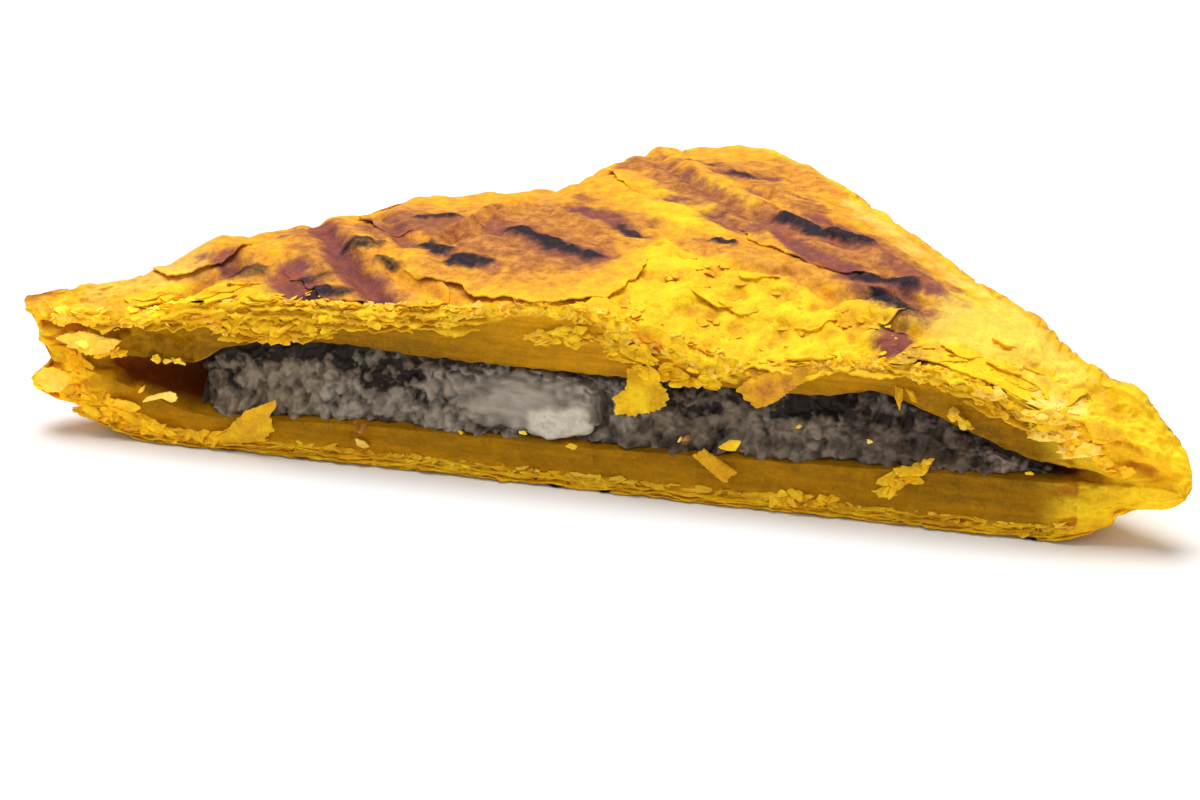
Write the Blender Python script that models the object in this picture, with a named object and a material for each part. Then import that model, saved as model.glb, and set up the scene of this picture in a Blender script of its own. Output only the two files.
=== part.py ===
"""One half of a flaky baked patty, cut from corner to corner and lying on its base.

The half is a folded pastry shell, open along the cut, with a minced filling that runs through it and
a lump of melted cheese in the filling. X runs along the cut, Y from the cut towards the uncut corner
and Z up. The origin is the middle of the base's bounding rectangle. Sizes are in millimetres here
and become metres in `place`.
"""

import math
import random
from bisect import bisect_right

import bmesh
import bpy
from mathutils import Vector, noise

MM = 0.001

# Driving dimensions of the whole half.
HALF_LENGTH = 74.8  # middle of the cut to a tip
CUT_Y = -39.5  # the plane of the cut
RIGHT_LEG_END = 74.0  # where the right-hand side would meet the cut if its corner were sharp
LEFT_LEG_END = 74.0
RIGHT_LEG_SLOPE = 1.19
LEFT_LEG_SLOPE = 1.13
APEX_ROUNDING = 3.2
TIP_START = 66.0  # the tips round off from here
TIP_DEPTH = 8.0
TIP_THINNING = (0.08, 0.12)  # share of the thickness lost at the left and right tips
FLAT_HALF_LENGTH = 57.0  # the base is flat this far each way, then rises to the tips
TIP_LIFT = (3.8, 5.2)
RIM_RADIUS = 10.0  # rounding of the folded sides, measured along Y
SEAM_GROOVE = 1.9  # depth of the line where the top and bottom sheets meet
CAVITY_WALL = 12.0  # pastry left behind the filling at the folded sides
GAP = 0.35  # air between touching pieces

# Heights along the cut, as (x, z): the browned lip of the cut, the middle of the top, the edge of the
# top at the folded sides, and the roof and floor of the hollow.
LIP = (
    (-75, 16.4), (-62, 16.8), (-50, 19.2), (-38, 20.4), (-20, 21.6), (-2, 23.6), (8, 21.8),
    (20, 18.8), (36, 20.4), (48, 19.8), (58, 16.2), (66, 14.6), (75, 11.5),
)
CROWN = (
    (-75, 19.2), (-60, 21.0), (-45, 23.0), (-20, 24.6), (2, 25.2), (25, 24.9), (42, 23.6),
    (55, 22.5), (62, 22.4), (67, 22.9), (71, 21.0), (75, 13.0),
)
SHOULDER = (
    (-75, 19.6), (-66, 21.2), (-61, 19.0), (-54, 21.2), (-48, 21.0), (-43, 20.6), (-38, 21.6),
    (-34, 22.4), (-29, 21.0), (-22, 19.8), (-17.5, 18.8), (-14, 21.5), (-6, 21.9), (2, 21.5),
    (10, 21.4), (18, 21.6), (26, 21.3), (38, 20.4), (54, 19.9), (58, 21.2), (62, 21.8), (66, 23.4),
    (70, 22.2), (75, 14.0),
)
CEILING = (
    (-75, 11.4), (-64, 11.0), (-52, 10.9), (-47, 13.6), (-34, 15.4), (-20, 14.9), (14, 15.0),
    (30, 15.3), (37, 16.5), (44, 14.2), (50, 12.0), (60, 10.0), (75, 9.8),
)
FLOOR = (
    (-75, 9.4), (-64, 8.2), (-52, 4.4), (-30, 5.2), (0, 5.5), (25, 6.4), (50, 7.4), (75, 7.8),
)
CAVITY = (-67.0, 65.0)  # ends of the hollow along the cut
FILLING = (-51.5, 58.0)  # ends of the filling, which stops short of the hollow's ends

# Mesh rows round one section of the crust, and stations along the cut.
STATIONS = 72
ROWS = {"base": 3, "rim": 8, "top": 16, "upper_cut": 3, "hollow": 10, "lower_cut": 3}

# Peeled sheets on the top: middle (x, distance behind the cut), lift of the free edge, and the radius
# every 30 degrees from +X.
TOP_SHEETS = (
    ("big_sheet", (-13, 17), 1.2, (15.5, 15, 15, 16, 15, 14.5, 15, 15.5, 12.5, 15, 19, 19)),
    ("left_sheet", (-33, 10), 0.7, (8.5, 6.5, 7, 10, 15, 15, 11, 8, 7.5, 9, 10, 17)),
    ("hump_sheet", (-32, 33), 0.9, (8, 9, 11, 10.5, 9.5, 9.5, 8, 8, 9.5, 12, 10, 8)),
    ("far_left_sheet", (-53, 17), 0.8, (6, 7, 7.5, 7, 6, 6, 6.5, 7, 7, 6.5, 6, 6)),
    ("upper_sheet", (-9, 53), 0.8, (6.5, 6.5, 8, 12, 13, 11, 7.5, 7, 9, 13, 12.5, 9.5)),
    ("apex_sheet", (5, 65), 0.7, (11, 8.5, 8.5, 10.5, 11, 12, 13, 9, 7, 8, 13, 15)),
    ("ridge_sheet", (20, 34), 0.9, (8, 6, 6.5, 9, 15, 13, 10, 8, 7, 8.5, 14, 18)),
    ("middle_sheet", (18, 20), 0.8, (12, 7, 6, 6.5, 8.5, 10.5, 10.5, 9, 7, 6.5, 8, 12)),
    ("flaky_patch", (52, 6), 1.0, (9.5, 8.5, 7, 7, 7, 8, 9, 8, 6, 5.5, 6, 8.5)),
)
# Flakes on the cut: middle (x, z), width, height, turn, side that joins the pastry, and how far they
# stand out. Both angles are in degrees in the plane of the cut.
CUT_FLAKES = (
    ("hanging_flake", (7.0, 13.0), 6.0, 7.8, -20, 90, 1.5),
    ("strip_flake", (16.6, 3.7), 5.2, 2.6, -38, -90, 0.9),
    ("curled_flake", (-44.6, 3.4), 9.4, 3.8, 52, -110, 1.7),
    ("orange_flap", (24.4, 15.6), 10.0, 4.2, 34, 80, 1.6),
    ("ledge_flake", (27.5, 1.2), 8.2, 1.8, 6, -90, 1.4),
    ("tail_flake", (-56.0, 2.6), 7.0, 2.8, -24, -90, 1.3),
    ("left_fold", (-60.5, 13.6), 11.0, 3.0, 2, 90, 1.5),
    ("right_shelf", (56.0, 13.2), 7.5, 2.4, -12, 90, 1.1),
    ("small_tooth", (40.6, 16.8), 3.0, 4.4, 10, 90, 0.9),
)
# Torn layers of the pastry, as ragged ribbons along the cut: ends, height above the floor curve's
# or below the lip curve's line, width, and how far they stand out.
LIP_RIBBONS = (
    ("lip_left", -71.0, -46.0, 0.9, 2.2, 1.2),
    ("lip_middle", -47.0, -6.0, 0.7, 1.8, 1.3),
    ("lip_under", -38.0, 12.0, 3.3, 1.3, 0.8),
    ("lip_right", 19.0, 60.0, 0.7, 1.6, 1.2),
)
BASE_RIBBONS = (
    ("base_left", -66.0, -34.0, 0.5, 1.6, 1.1),
    ("base_middle", -30.0, 19.0, 0.3, 1.2, 0.9),
    ("base_right", 23.0, 63.0, 0.5, 1.3, 1.0),
)
LUMPS = 26  # crumbs of mince that stand out of the filling's cut face
SEED = 11

CHEESE_MIDDLE = (-9.6, 3.6, 9.8)
CHEESE_SIZE = (11.4, 3.6, 4.3)

COLOURS = {
    "crust": ((0.80, 0.42, 0.05), 0.55),
    "filling": ((0.12, 0.09, 0.065), 0.6),
    "cheese": ((0.62, 0.58, 0.50), 0.4),
}


def along(points, x):
    """A smooth curve through (x, value) points."""
    xs = [p[0] for p in points]
    i = min(max(bisect_right(xs, x) - 1, 0), len(points) - 2)
    (x0, v0), (x1, v1) = points[i], points[i + 1]

    def slope(j):
        a, b = points[max(j - 1, 0)], points[min(j + 1, len(points) - 1)]
        return (b[1] - a[1]) / (b[0] - a[0])

    span = x1 - x0
    t = min(max((x - x0) / span, 0.0), 1.0)
    t2, t3 = t * t, t * t * t
    return (
        v0 * (2 * t3 - 3 * t2 + 1)
        + slope(i) * span * (t3 - 2 * t2 + t)
        + v1 * (3 * t2 - 2 * t3)
        + slope(i + 1) * span * (t3 - t2)
    )


def smooth(t):
    """0 below 0, 1 above 1, with a soft start and end."""
    t = min(max(t, 0.0), 1.0)
    return t * t * (3 - 2 * t)


def rough(x, y, size, seed=0.0):
    """Even noise from -1 to 1 whose bumps are about `size` millimetres across."""
    return noise.noise(Vector((x / size, y / size, seed * 7.31)))


def tip_share(x):
    """1 along the half, falling to 0 round each tip."""
    t = max(abs(x) - TIP_START, 0.0) / (HALF_LENGTH + 0.6 - TIP_START)
    return math.sqrt(max(1.0 - t * t, 0.0))


def depth_at(x):
    """Distance from the cut to the folded side at x."""
    right = RIGHT_LEG_SLOPE * (RIGHT_LEG_END - x)
    left = LEFT_LEG_SLOPE * (LEFT_LEG_END + x)
    legs = (right + left) / 2 - math.hypot((right - left) / 2, APEX_ROUNDING)
    tip = TIP_DEPTH * tip_share(x)
    ragged = 0.7 * rough(x, 0, 9.0, 2) * smooth((HALF_LENGTH - abs(x)) / 12)
    return (legs + tip) / 2 + math.hypot((legs - tip) / 2, 2.2) + ragged - 0.6


def lift_at(x):
    """Height of the underside: flat, then rising to the tips."""
    lift = TIP_LIFT[0] if x < 0 else TIP_LIFT[1]
    return lift * smooth((abs(x) - FLAT_HALF_LENGTH) / (HALF_LENGTH - FLAT_HALF_LENGTH))


def top_at(x, d):
    """Height of the outer top surface at x, a distance d behind the cut."""
    depth = depth_at(x)
    height = along(LIP, x)
    height += (along(CROWN, x) - height) * smooth(d / min(15.0, 1.2 * depth))
    height += (along(SHOULDER, x) - height) * smooth((d / depth - 0.45) / 0.55)
    relief = 0.75 * rough(x, d, 13.0, 3) + 0.35 * rough(x, d, 5.5, 4)
    # Shallow furrows where the press ran, parallel to the right-hand side.
    across = (x * RIGHT_LEG_SLOPE + d) / math.hypot(RIGHT_LEG_SLOPE, 1.0)
    relief -= 0.35 * max(0.0, math.cos(2 * math.pi * across / 9.5)) ** 3
    return height + relief * smooth(d / 4.0) * smooth((depth - d) / 4.0)


def hollow_at(x):
    """(middle height, half height, depth) of the hollow at x. Past its ends it has no depth."""
    ceiling, floor = along(CEILING, x), along(FLOOR, x)
    ends = smooth((x - CAVITY[0]) / 12.0) * smooth((CAVITY[1] - x) / 12.0)
    depth = max(depth_at(x) - CAVITY_WALL, 9.0) * ends
    return (ceiling + floor) / 2, (ceiling - floor) / 2, depth


def crust_section(x):
    """The closed outline (distance behind the cut, height) of the pastry at x."""
    depth, lift = depth_at(x), lift_at(x)
    rim = min(RIM_RADIUS, 0.45 * depth)
    shoulder_z = top_at(x, depth - rim)
    full = smooth((tip_share(x) - 0.36) / 0.5)
    lip_out = (0.7 * rough(x, 1.0, 4.0, 5) + 0.5 * rough(x, 1.0, 1.9, 6)) * full
    loop = [((depth - rim) * i / ROWS["base"], lift) for i in range(ROWS["base"] + 1)]
    for i in range(1, ROWS["rim"]):
        t = i / ROWS["rim"]
        bulge = rim * math.sin(math.pi * t) ** 0.8 + 0.5 * rough(x, t * 14, 6.0, 10)
        groove = SEAM_GROOVE * math.exp(-(((t - 0.5) / 0.07) ** 2)) * smooth(depth / 20)
        height = lift + (shoulder_z - lift) * (1 - math.cos(math.pi * t)) / 2
        loop.append((depth - rim + bulge - groove, height))
    for i in range(ROWS["top"]):
        t = 1 - i / ROWS["top"]
        d = (depth - rim) * t**1.25
        loop.append((d, top_at(x, d)))
    middle, half, back = hollow_at(x)
    lip_z = top_at(x, 0.0)
    loop.append((-lip_out - 0.3, lip_z - 0.7))
    for i in range(1, ROWS["upper_cut"]):
        t = i / ROWS["upper_cut"]
        loop.append((0.9 * full * smooth(t), lip_z - 1.2 + (middle + half + 1.2 - lip_z) * t))
    for i in range(ROWS["hollow"] + 1):
        turn = math.pi * i / ROWS["hollow"]
        up = math.cos(turn)
        height = middle + half * math.copysign(abs(up) ** 0.6, up)
        loop.append((0.9 * full + back * math.sin(turn) ** 0.6, height))
    floor_z = middle - half
    for i in range(1, ROWS["lower_cut"] + 1):
        t = i / (ROWS["lower_cut"] + 1)
        wavy = full * (0.5 * rough(x, t * 5, 5.0, 7) + 0.3 * (1 - t))
        loop.append((wavy, floor_z + (lift - floor_z) * t))
    thinned = TIP_THINNING[0] if x < 0 else TIP_THINNING[1]
    share = 1 - thinned * (1 - tip_share(x))
    centre = (lift + lip_z) / 2
    return [(d, centre + (z - centre) * share) for d, z in loop]


def nose(x, z):
    """How far a point of the tips moves along the cut: a mouth at the left, a blunt nose at the right."""
    if x < 0:
        mouth = 1.7 * smooth((17.4 - z) / 1.6) + 2.2 * math.exp(-(((z - 9.6) / 1.6) ** 2))
        return mouth * smooth((-x - 65) / 8)
    return -0.035 * (z - 9.0) ** 2 * smooth((x - 66) / 9)


def place(x, d, z):
    """A point in metres from millimetres along, behind and above the cut's foot."""
    return Vector((x, CUT_Y + d, z)) * MM


def paint(obj, name):
    """Gives the object its own material."""
    colour, roughness = COLOURS[name]
    material = bpy.data.materials.new(name)
    material.use_nodes = True
    shader = material.node_tree.nodes["Principled BSDF"]
    shader.inputs["Base Color"].default_value = (*colour, 1.0)
    shader.inputs["Roughness"].default_value = roughness
    obj.data.materials.append(material)


def finish_mesh(bm, name):
    """Turns the faces outwards and makes an object of them."""
    bmesh.ops.recalc_face_normals(bm, faces=bm.faces)
    mesh = bpy.data.meshes.new(name)
    bm.to_mesh(mesh)
    bm.free()
    obj = bpy.data.objects.new(name, mesh)
    bpy.context.scene.collection.objects.link(obj)
    return obj


def lofted(name, xs, section):
    """A closed skin over the sections at xs, with filled ends."""
    rows = len(section(xs[0]))
    bm = bmesh.new()
    bmesh.ops.create_grid(bm, x_segments=len(xs) - 1, y_segments=rows, size=1.0)
    outlines = [section(x) for x in xs]
    for vert in bm.verts:
        i = round((vert.co.x + 1) / 2 * (len(xs) - 1))
        j = round((vert.co.y + 1) / 2 * rows) % rows
        d, z = outlines[i][j]
        vert.co = place(xs[i] + nose(xs[i], z), d, z)
    bmesh.ops.remove_doubles(bm, verts=bm.verts, dist=0.001 * MM)
    ends = bmesh.ops.holes_fill(bm, edges=bm.edges, sides=0)
    bmesh.ops.poke(bm, faces=ends["faces"], center_mode="BOUNDS")
    return finish_mesh(bm, name)


def stations(first, last, count, crowding):
    """Places along the cut, closer together near both ends."""
    middle, half = (first + last) / 2, (last - first) / 2
    found = []
    for i in range(count + 1):
        t = 2 * i / count - 1
        bent = t * (1 - crowding) + math.sin(t * math.pi / 2) * crowding
        found.append(middle + half * bent)
    return found


def plate(name, sides, surfaces):
    """A ragged plate. `surfaces` turns (share of the radius, angle) into its front and back points."""
    bm = bmesh.new()
    bmesh.ops.create_circle(bm, cap_ends=True, cap_tris=True, segments=sides, radius=1.0)
    grown = bmesh.ops.extrude_face_region(bm, geom=bm.faces[:])
    behind = {item for item in grown["geom"] if isinstance(item, bmesh.types.BMVert)}
    for vert in bm.verts:
        front, back = surfaces(vert.co.xy.length, math.atan2(vert.co.y, vert.co.x))
        vert.co = back if vert in behind else front
    return finish_mesh(bm, name)


def top_sheet(name, middle, lift, radii, seed):
    """A peeled sheet that lies on the top, sunk in the middle and free at the edge."""
    turn = tuple((30 * i, radius) for i, radius in enumerate(radii + radii[:1]))

    def surfaces(share, theta):
        ragged = 1 + 0.16 * rough(math.cos(theta) * 4, math.sin(theta) * 4, 1.0, seed)
        reach = along(turn, math.degrees(theta) % 360) * share * ragged
        while True:
            x, d = middle[0] + reach * math.cos(theta), middle[1] + reach * math.sin(theta)
            if 0.5 <= d <= depth_at(x) - 0.5 * RIM_RADIUS:
                break
            reach *= 0.96
        z = top_at(x, d) + 0.1 + (lift - 0.2) * share
        return place(x, d, z), place(x, d, z - 2.0)

    return plate(name, 26, surfaces)


def cut_flake(name, middle, width, height, turn, root, proud, seed):
    """A flake on the cut. It leaves the pastry at the side that `root` points to, in degrees."""
    way, tilt = math.radians(root), math.radians(turn)

    def surfaces(share, theta):
        ragged = 1 + 0.4 * rough(math.cos(theta) * 4, math.sin(theta) * 4, 1.5, seed + 20)
        across, up = math.cos(theta), math.sin(theta)
        u = width / 2 * share * ragged * math.copysign(abs(across) ** 0.6, across)
        v = height / 2 * share * ragged * math.copysign(abs(up) ** 0.6, up)
        x = middle[0] + u * math.cos(tilt) - v * math.sin(tilt)
        z = max(middle[1] + u * math.sin(tilt) + v * math.cos(tilt), 0.02)
        reach = (x - middle[0]) * math.cos(way) + (z - middle[1]) * math.sin(way)
        free = smooth(0.5 - reach / max(width, height))
        front = -proud * (0.35 + 0.65 * free)
        return place(x, front, z), place(x, 1.2 + (front + 0.7 - 1.2) * free, z)

    return plate(name, 14, surfaces)


def ribbon(name, first, last, height_at, width, proud, seed):
    """A torn layer that stands out of the cut between two places along it."""

    def section(x):
        taper = smooth((x - first) / 4) * smooth((last - x) / 4)
        torn = width * (0.35 + 0.65 * taper) * (1 + 0.5 * rough(x, 3, 3.1, seed))
        out = proud * (0.25 + 0.75 * taper) * (1 + 0.45 * rough(x, 5, 4.3, seed))
        top = height_at(x) + 0.3 * rough(x, 7, 6.0, seed)
        low = max(top - torn, lift_at(x) + 0.05)
        return [(1.3, top + 0.3), (-out * 0.7, top), (-out, (top + low) / 2), (1.3, low)]

    return lofted(name, stations(first, last, max(6, round((last - first) / 2.2)), 0.1), section)


def fuse(body, pieces, operation="UNION"):
    """Joins the pieces to the body, or cuts them out of it, for good and removes them."""
    group = bpy.data.collections.new(body.name + "_pieces")
    bpy.context.scene.collection.children.link(group)
    for piece in pieces:
        bpy.context.scene.collection.objects.unlink(piece)
        group.objects.link(piece)
    join = body.modifiers.new("join", "BOOLEAN")
    join.operation = operation
    join.operand_type = "COLLECTION"
    join.collection = group
    join.solver = "EXACT"
    graph = bpy.context.evaluated_depsgraph_get()
    joined = bpy.data.meshes.new_from_object(body.evaluated_get(graph))
    body.modifiers.clear()
    body.data = joined
    for piece in pieces:
        bpy.data.objects.remove(piece)
    bpy.data.collections.remove(group)


def make_crust():
    """The pastry: a folded shell with its torn layers, flakes and peeled sheets."""
    crust = lofted("crust", stations(-HALF_LENGTH, HALF_LENGTH, STATIONS, 0.35), crust_section)
    pieces = [top_sheet(*row, seed) for seed, row in enumerate(TOP_SHEETS)]
    pieces += [cut_flake(*row, seed) for seed, row in enumerate(CUT_FLAKES)]
    for seed, (name, first, last, below, width, proud) in enumerate(LIP_RIBBONS):
        pieces.append(
            ribbon(name, first, last, lambda x, b=below: along(LIP, x) - b, width, proud, seed)
        )
    for seed, (name, first, last, above, width, proud) in enumerate(BASE_RIBBONS):
        pieces.append(
            ribbon(name, first, last, lambda x, a=above: lift_at(x) + a + 1.0, width, proud, seed + 9)
        )
    fuse(crust, pieces)
    paint(crust, "crust")
    return crust


def filling_section(x):
    """The outline of the filling at x: the hollow's, with a gap, and lumpy at the cut."""
    middle, half, back = hollow_at(x)
    low, high = middle - half + GAP, middle + half - GAP
    ends = smooth((x - FILLING[0] + 0.5) / 2.5) * smooth((FILLING[1] - x) / 8.0)
    middle, half = (low + high) / 2, (high - low) / 2 * (0.3 + 0.7 * ends)
    reach = max(back - 0.5, 3.8)
    loop = []
    for i in range(11):
        turn = math.pi * i / 10
        up = math.cos(turn)
        height = middle + half * math.copysign(abs(up) ** 0.62, up) * 0.97
        loop.append((2.4 + (reach - 2.4) * math.sin(turn) ** 0.7, height))
    for i in range(1, 7):
        t = i / 7
        lump = 0.9 * rough(x, t * 9, 2.6, 8) + 0.6 * rough(x, t * 9, 1.4, 9)
        loop.append((2.2 + lump * ends, middle - half * 0.97 * (1 - 2 * t)))
    return loop


def make_filling():
    """The minced filling, with crumbs standing out of its cut face."""
    filling = lofted("filling", stations(*FILLING, 44, 0.1), filling_section)
    rng = random.Random(SEED + 1)
    crumbs = []
    for i in range(LUMPS):
        x = FILLING[0] + 4 + (FILLING[1] - FILLING[0] - 14) * (i + rng.random()) / LUMPS
        radius = rng.uniform(1.0, 1.7)
        low, high = along(FLOOR, x) + GAP + radius, along(CEILING, x) - GAP - radius
        if high < low:
            continue
        bm = bmesh.new()
        bmesh.ops.create_icosphere(bm, subdivisions=1, radius=1.0)
        middle = place(x, 2.6, rng.uniform(low, high))
        for vert in bm.verts:
            vert.co = middle + vert.co * radius * MM * rng.uniform(0.75, 1.0)
        crumbs.append(finish_mesh(bm, f"crumb_{i}"))
    fuse(filling, crumbs)
    paint(filling, "filling")
    return filling


def cheese_lump(name, grow):
    """The melted cheese, a squarish lump, made `grow` millimetres fatter all round."""
    bm = bmesh.new()
    bmesh.ops.create_uvsphere(bm, u_segments=18, v_segments=10, radius=1.0)
    x0, d0, z0 = CHEESE_MIDDLE
    for vert in bm.verts:
        squared = [math.copysign(abs(c) ** 0.7, c) for c in vert.co]
        wave = 1 + 0.10 * noise.noise(vert.co * 1.6)
        offset = [c * (size * wave + grow) for c, size in zip(squared, CHEESE_SIZE)]
        vert.co = place(x0 + offset[0], d0 + offset[1], z0 + offset[2])
    return finish_mesh(bm, name)


def make_cheese(filling):
    """The cheese, and the pocket that it fills in the mince."""
    fuse(filling, [cheese_lump("pocket", GAP)], "DIFFERENCE")
    cheese = cheese_lump("cheese", 0.0)
    paint(cheese, "cheese")
    return cheese


def main():
    for obj in list(bpy.data.objects):
        bpy.data.objects.remove(obj)
    crust = make_crust()
    filling = make_filling()
    cheese = make_cheese(filling)
    for obj in (crust, filling, cheese):
        obj.data.shade_smooth()
        obj.data.set_sharp_from_angle(angle=math.radians(40))


main()
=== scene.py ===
"""Dresses one half of a cut, pressed flaky patty: its baked shell, torn layers, mince and cheese.

Sizes are in millimetres: x runs along the cut, d from the cut towards the uncut corner and z up.
They become metres in the frame's own axes in `placed`.
"""

import math
import random
from bisect import bisect_right
from functools import partial

import bmesh
import bpy
import numpy as np
from bpy.props import FloatProperty, FloatVectorProperty, IntProperty, PointerProperty
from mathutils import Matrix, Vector, noise


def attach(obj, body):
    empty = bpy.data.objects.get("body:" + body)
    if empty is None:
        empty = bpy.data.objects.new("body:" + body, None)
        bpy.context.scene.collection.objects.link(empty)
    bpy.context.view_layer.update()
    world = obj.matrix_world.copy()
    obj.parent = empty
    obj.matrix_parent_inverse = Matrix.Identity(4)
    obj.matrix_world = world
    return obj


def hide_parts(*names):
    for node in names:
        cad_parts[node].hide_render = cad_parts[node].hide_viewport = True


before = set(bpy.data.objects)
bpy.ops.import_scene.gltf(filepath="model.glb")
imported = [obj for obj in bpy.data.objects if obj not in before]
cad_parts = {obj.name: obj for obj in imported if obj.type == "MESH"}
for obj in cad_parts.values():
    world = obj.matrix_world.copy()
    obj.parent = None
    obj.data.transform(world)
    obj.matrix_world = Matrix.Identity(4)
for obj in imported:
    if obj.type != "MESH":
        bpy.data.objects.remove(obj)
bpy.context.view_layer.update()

bl_info = {
    "name": "Cut flaky patty",
    "version": (1, 0, 0),
    "blender": (4, 5, 0),
    "location": "3D View > Sidebar > Patty",
    "description": "Builds the looks of one half of a cut flaky patty, and its stage",
    "category": "Object",
}

MM = 0.001

# The form of the half. It is that of the solids, except that the heights of the crown, the shoulder and
# the ceiling follow the photograph more closely, by 1.5 mm at most.
HALF_LENGTH = 74.8
CUT_Y = -39.5
RIGHT_LEG_END = 74.0
LEFT_LEG_END = 74.0
RIGHT_LEG_SLOPE = 1.19
LEFT_LEG_SLOPE = 1.13
APEX_ROUNDING = 3.2
TIP_START = 66.0
TIP_DEPTH = 8.0
TIP_THINNING = (0.08, 0.12)
FLAT_HALF_LENGTH = 57.0
TIP_LIFT = (3.8, 5.2)
RIM_RADIUS = 10.0
SEAM_GROOVE = 1.9
CAVITY_WALL = 12.0
CROWN_REACH = 15.0
FURROW_PITCH = 9.5
FURROW_DEPTH = 0.35
CRUMB_BACK = 0.9
LIP = (
    (-75, 16.4), (-62, 16.8), (-50, 19.2), (-38, 20.4), (-20, 21.6), (-2, 23.6), (8, 21.8),
    (20, 18.8), (36, 20.4), (48, 19.8), (58, 16.2), (66, 14.6), (75, 11.5),
)
CROWN = (
    (-75, 18.4), (-60, 20.8), (-45, 23.0), (-20, 24.6), (2, 25.2), (25, 24.9), (42, 23.4),
    (55, 21.6), (62, 21.2), (67, 21.8), (71, 20.2), (75, 13.0),
)
SHOULDER = (
    (-75, 18.8), (-66, 21.0), (-61, 18.4), (-54, 22.0), (-48, 19.8), (-43, 21.2), (-38, 20.8),
    (-34, 22.3), (-29, 20.7), (-22, 19.9), (-17.5, 18.4), (-14, 21.4), (-6, 21.9), (2, 21.5),
    (10, 21.4), (18, 21.6), (26, 21.3), (38, 20.4), (50, 19.4), (58, 20.1), (62, 20.4), (66, 21.9),
    (70, 20.8), (75, 14.0),
)
CEILING = (
    (-75, 11.4), (-64, 11.0), (-52, 10.9), (-47, 13.6), (-34, 15.4), (-20, 14.9), (14, 15.0),
    (30, 15.3), (37, 16.5), (44, 14.2), (50, 12.0), (56, 9.9), (60, 9.0), (66, 8.7), (75, 9.0),
)
FLOOR = (
    (-75, 9.4), (-64, 8.2), (-52, 4.4), (-30, 5.2), (0, 5.5), (25, 6.4), (50, 7.4), (75, 7.8),
)
CAVITY = (-67.0, 65.0)
FILLING = (-51.5, 58.0)

# How far in the left tip ends at each height: a mouth between its upper edge and its lower ear.
MOUTH = (
    (3.6, 5.0), (4.3, 4.0), (4.9, 2.4), (5.8, 1.9), (6.8, 2.2), (7.8, 3.4), (8.6, 4.5), (9.7, 3.7),
    (10.7, 3.1), (12.8, 2.7), (14.7, 1.9), (15.9, 0.6), (17.0, 0.0), (18.2, 1.2), (19.5, 1.6),
)

# The fine skin: rows round one section of the crust and stations along the cut. The rows of the top
# are close together in front, where it is torn, and wider behind.
FRONT_DEPTH = 26.0
STATIONS = 440
ROWS = {"base": 3, "rim": 20, "front": 80, "back": 46, "upper_cut": 30, "hollow": 14, "lower_cut": 24}
BASE, RIM, TOP, UPPER_CUT, HOLLOW, LOWER_CUT = range(6)
# Shares of the end outlines at which rings close the ends, and how far the ends bulge.
END_RINGS = (0.2, 0.45, 0.68, 0.88)
END_BULGE = 0.5

# Where the top is torn open to its yellow layers: from the cut back to this distance.
TORN_EDGE = (
    (-75, 0), (-72, 3), (-69, 8), (-58, 7), (-50, 5), (-44, 3.0), (-30, 1.6), (-14, 1.0), (-4, 1.2), (1, 6),
    (3, 22), (7, 20), (13, 16), (22, 14), (29, 12), (36, 15), (41, 7), (47, 6), (52, 12), (60, 12),
    (64, 6), (75, 4),
)
# Folds and creases pressed into the top: the line along it, its width and its height.
FOLDS = (
    (((16, 37), (22, 34.5), (28, 30), (34, 24), (41, 17.5)), 1.5, 1.1),
    (((-12, 66), (-3, 53.5), (4, 44.5), (9, 38.5), (14, 35.5)), 1.1, -0.6),
    (((-9, 67), (-1, 55), (6, 46), (12, 40)), 1.6, 0.45),
    (((15, 16), (20, 15), (22, 17), (29, 11), (32, 13), (36, 16), (41, 15)), 0.7, -0.7),
    (((14, 18), (20, 17.5), (24, 19), (30, 14.5), (36, 18)), 1.8, 0.6),
    (((-44, 26), (-36, 12), (-31, 6), (-26, 1)), 1.2, -0.8),
    (((-42, 24), (-38, 17), (-34, 14)), 2.2, 0.6),
    (((-37, 31), (-32, 22), (-28, 15)), 1.1, -0.8),
    (((-25, 17), (-23, 24), (-21, 33), (-19, 40)), 0.7, 0.9),
    (((-23, 17), (-21.4, 24), (-19.4, 33)), 0.5, -0.7),
    (((-22, 20), (-20, 27), (-18, 34)), 0.7, 0.7),
    (((-25, 50), (-19, 58), (-16, 63)), 2.6, -1.4),
    (((12, 63), (18, 55)), 3.0, 0.9),
    (((-5, 12), (2, 20), (3, 27)), 1.0, -0.4),
    (((-49, 9), (-52, 6), (-56, 3)), 1.0, -0.9),
    (((-48, 12), (-44, 13), (-40, 11)), 1.6, 0.5),
    (((-38, 6), (-35, 9)), 1.1, -0.6),
    (((-30, 12), (-27, 10)), 1.0, -0.5),
    (((6, 36), (0, 40), (-6, 44)), 1.0, -0.5),
    (((-3, 47), (6, 50), (14, 48)), 1.2, 0.5),
    (((8, 47), (11, 46)), 1.2, -1.2),
    (((35, 9), (40, 7)), 0.9, -1.0),
    (((30, 9), (36, 10), (42, 9)), 1.4, 0.6),
    (((24, 8), (32, 6), (40, 4.5)), 1.3, 0.5),
    (((58, 12), (63, 7), (66, 3)), 0.8, -0.4),
    (((62, 12), (68, 7), (71, 3)), 1.8, 0.8),
    (((-29, 10), (-26.5, 7.6), (-20, 4.6), (-15, 1.2)), 0.8, -0.9),
)

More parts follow.
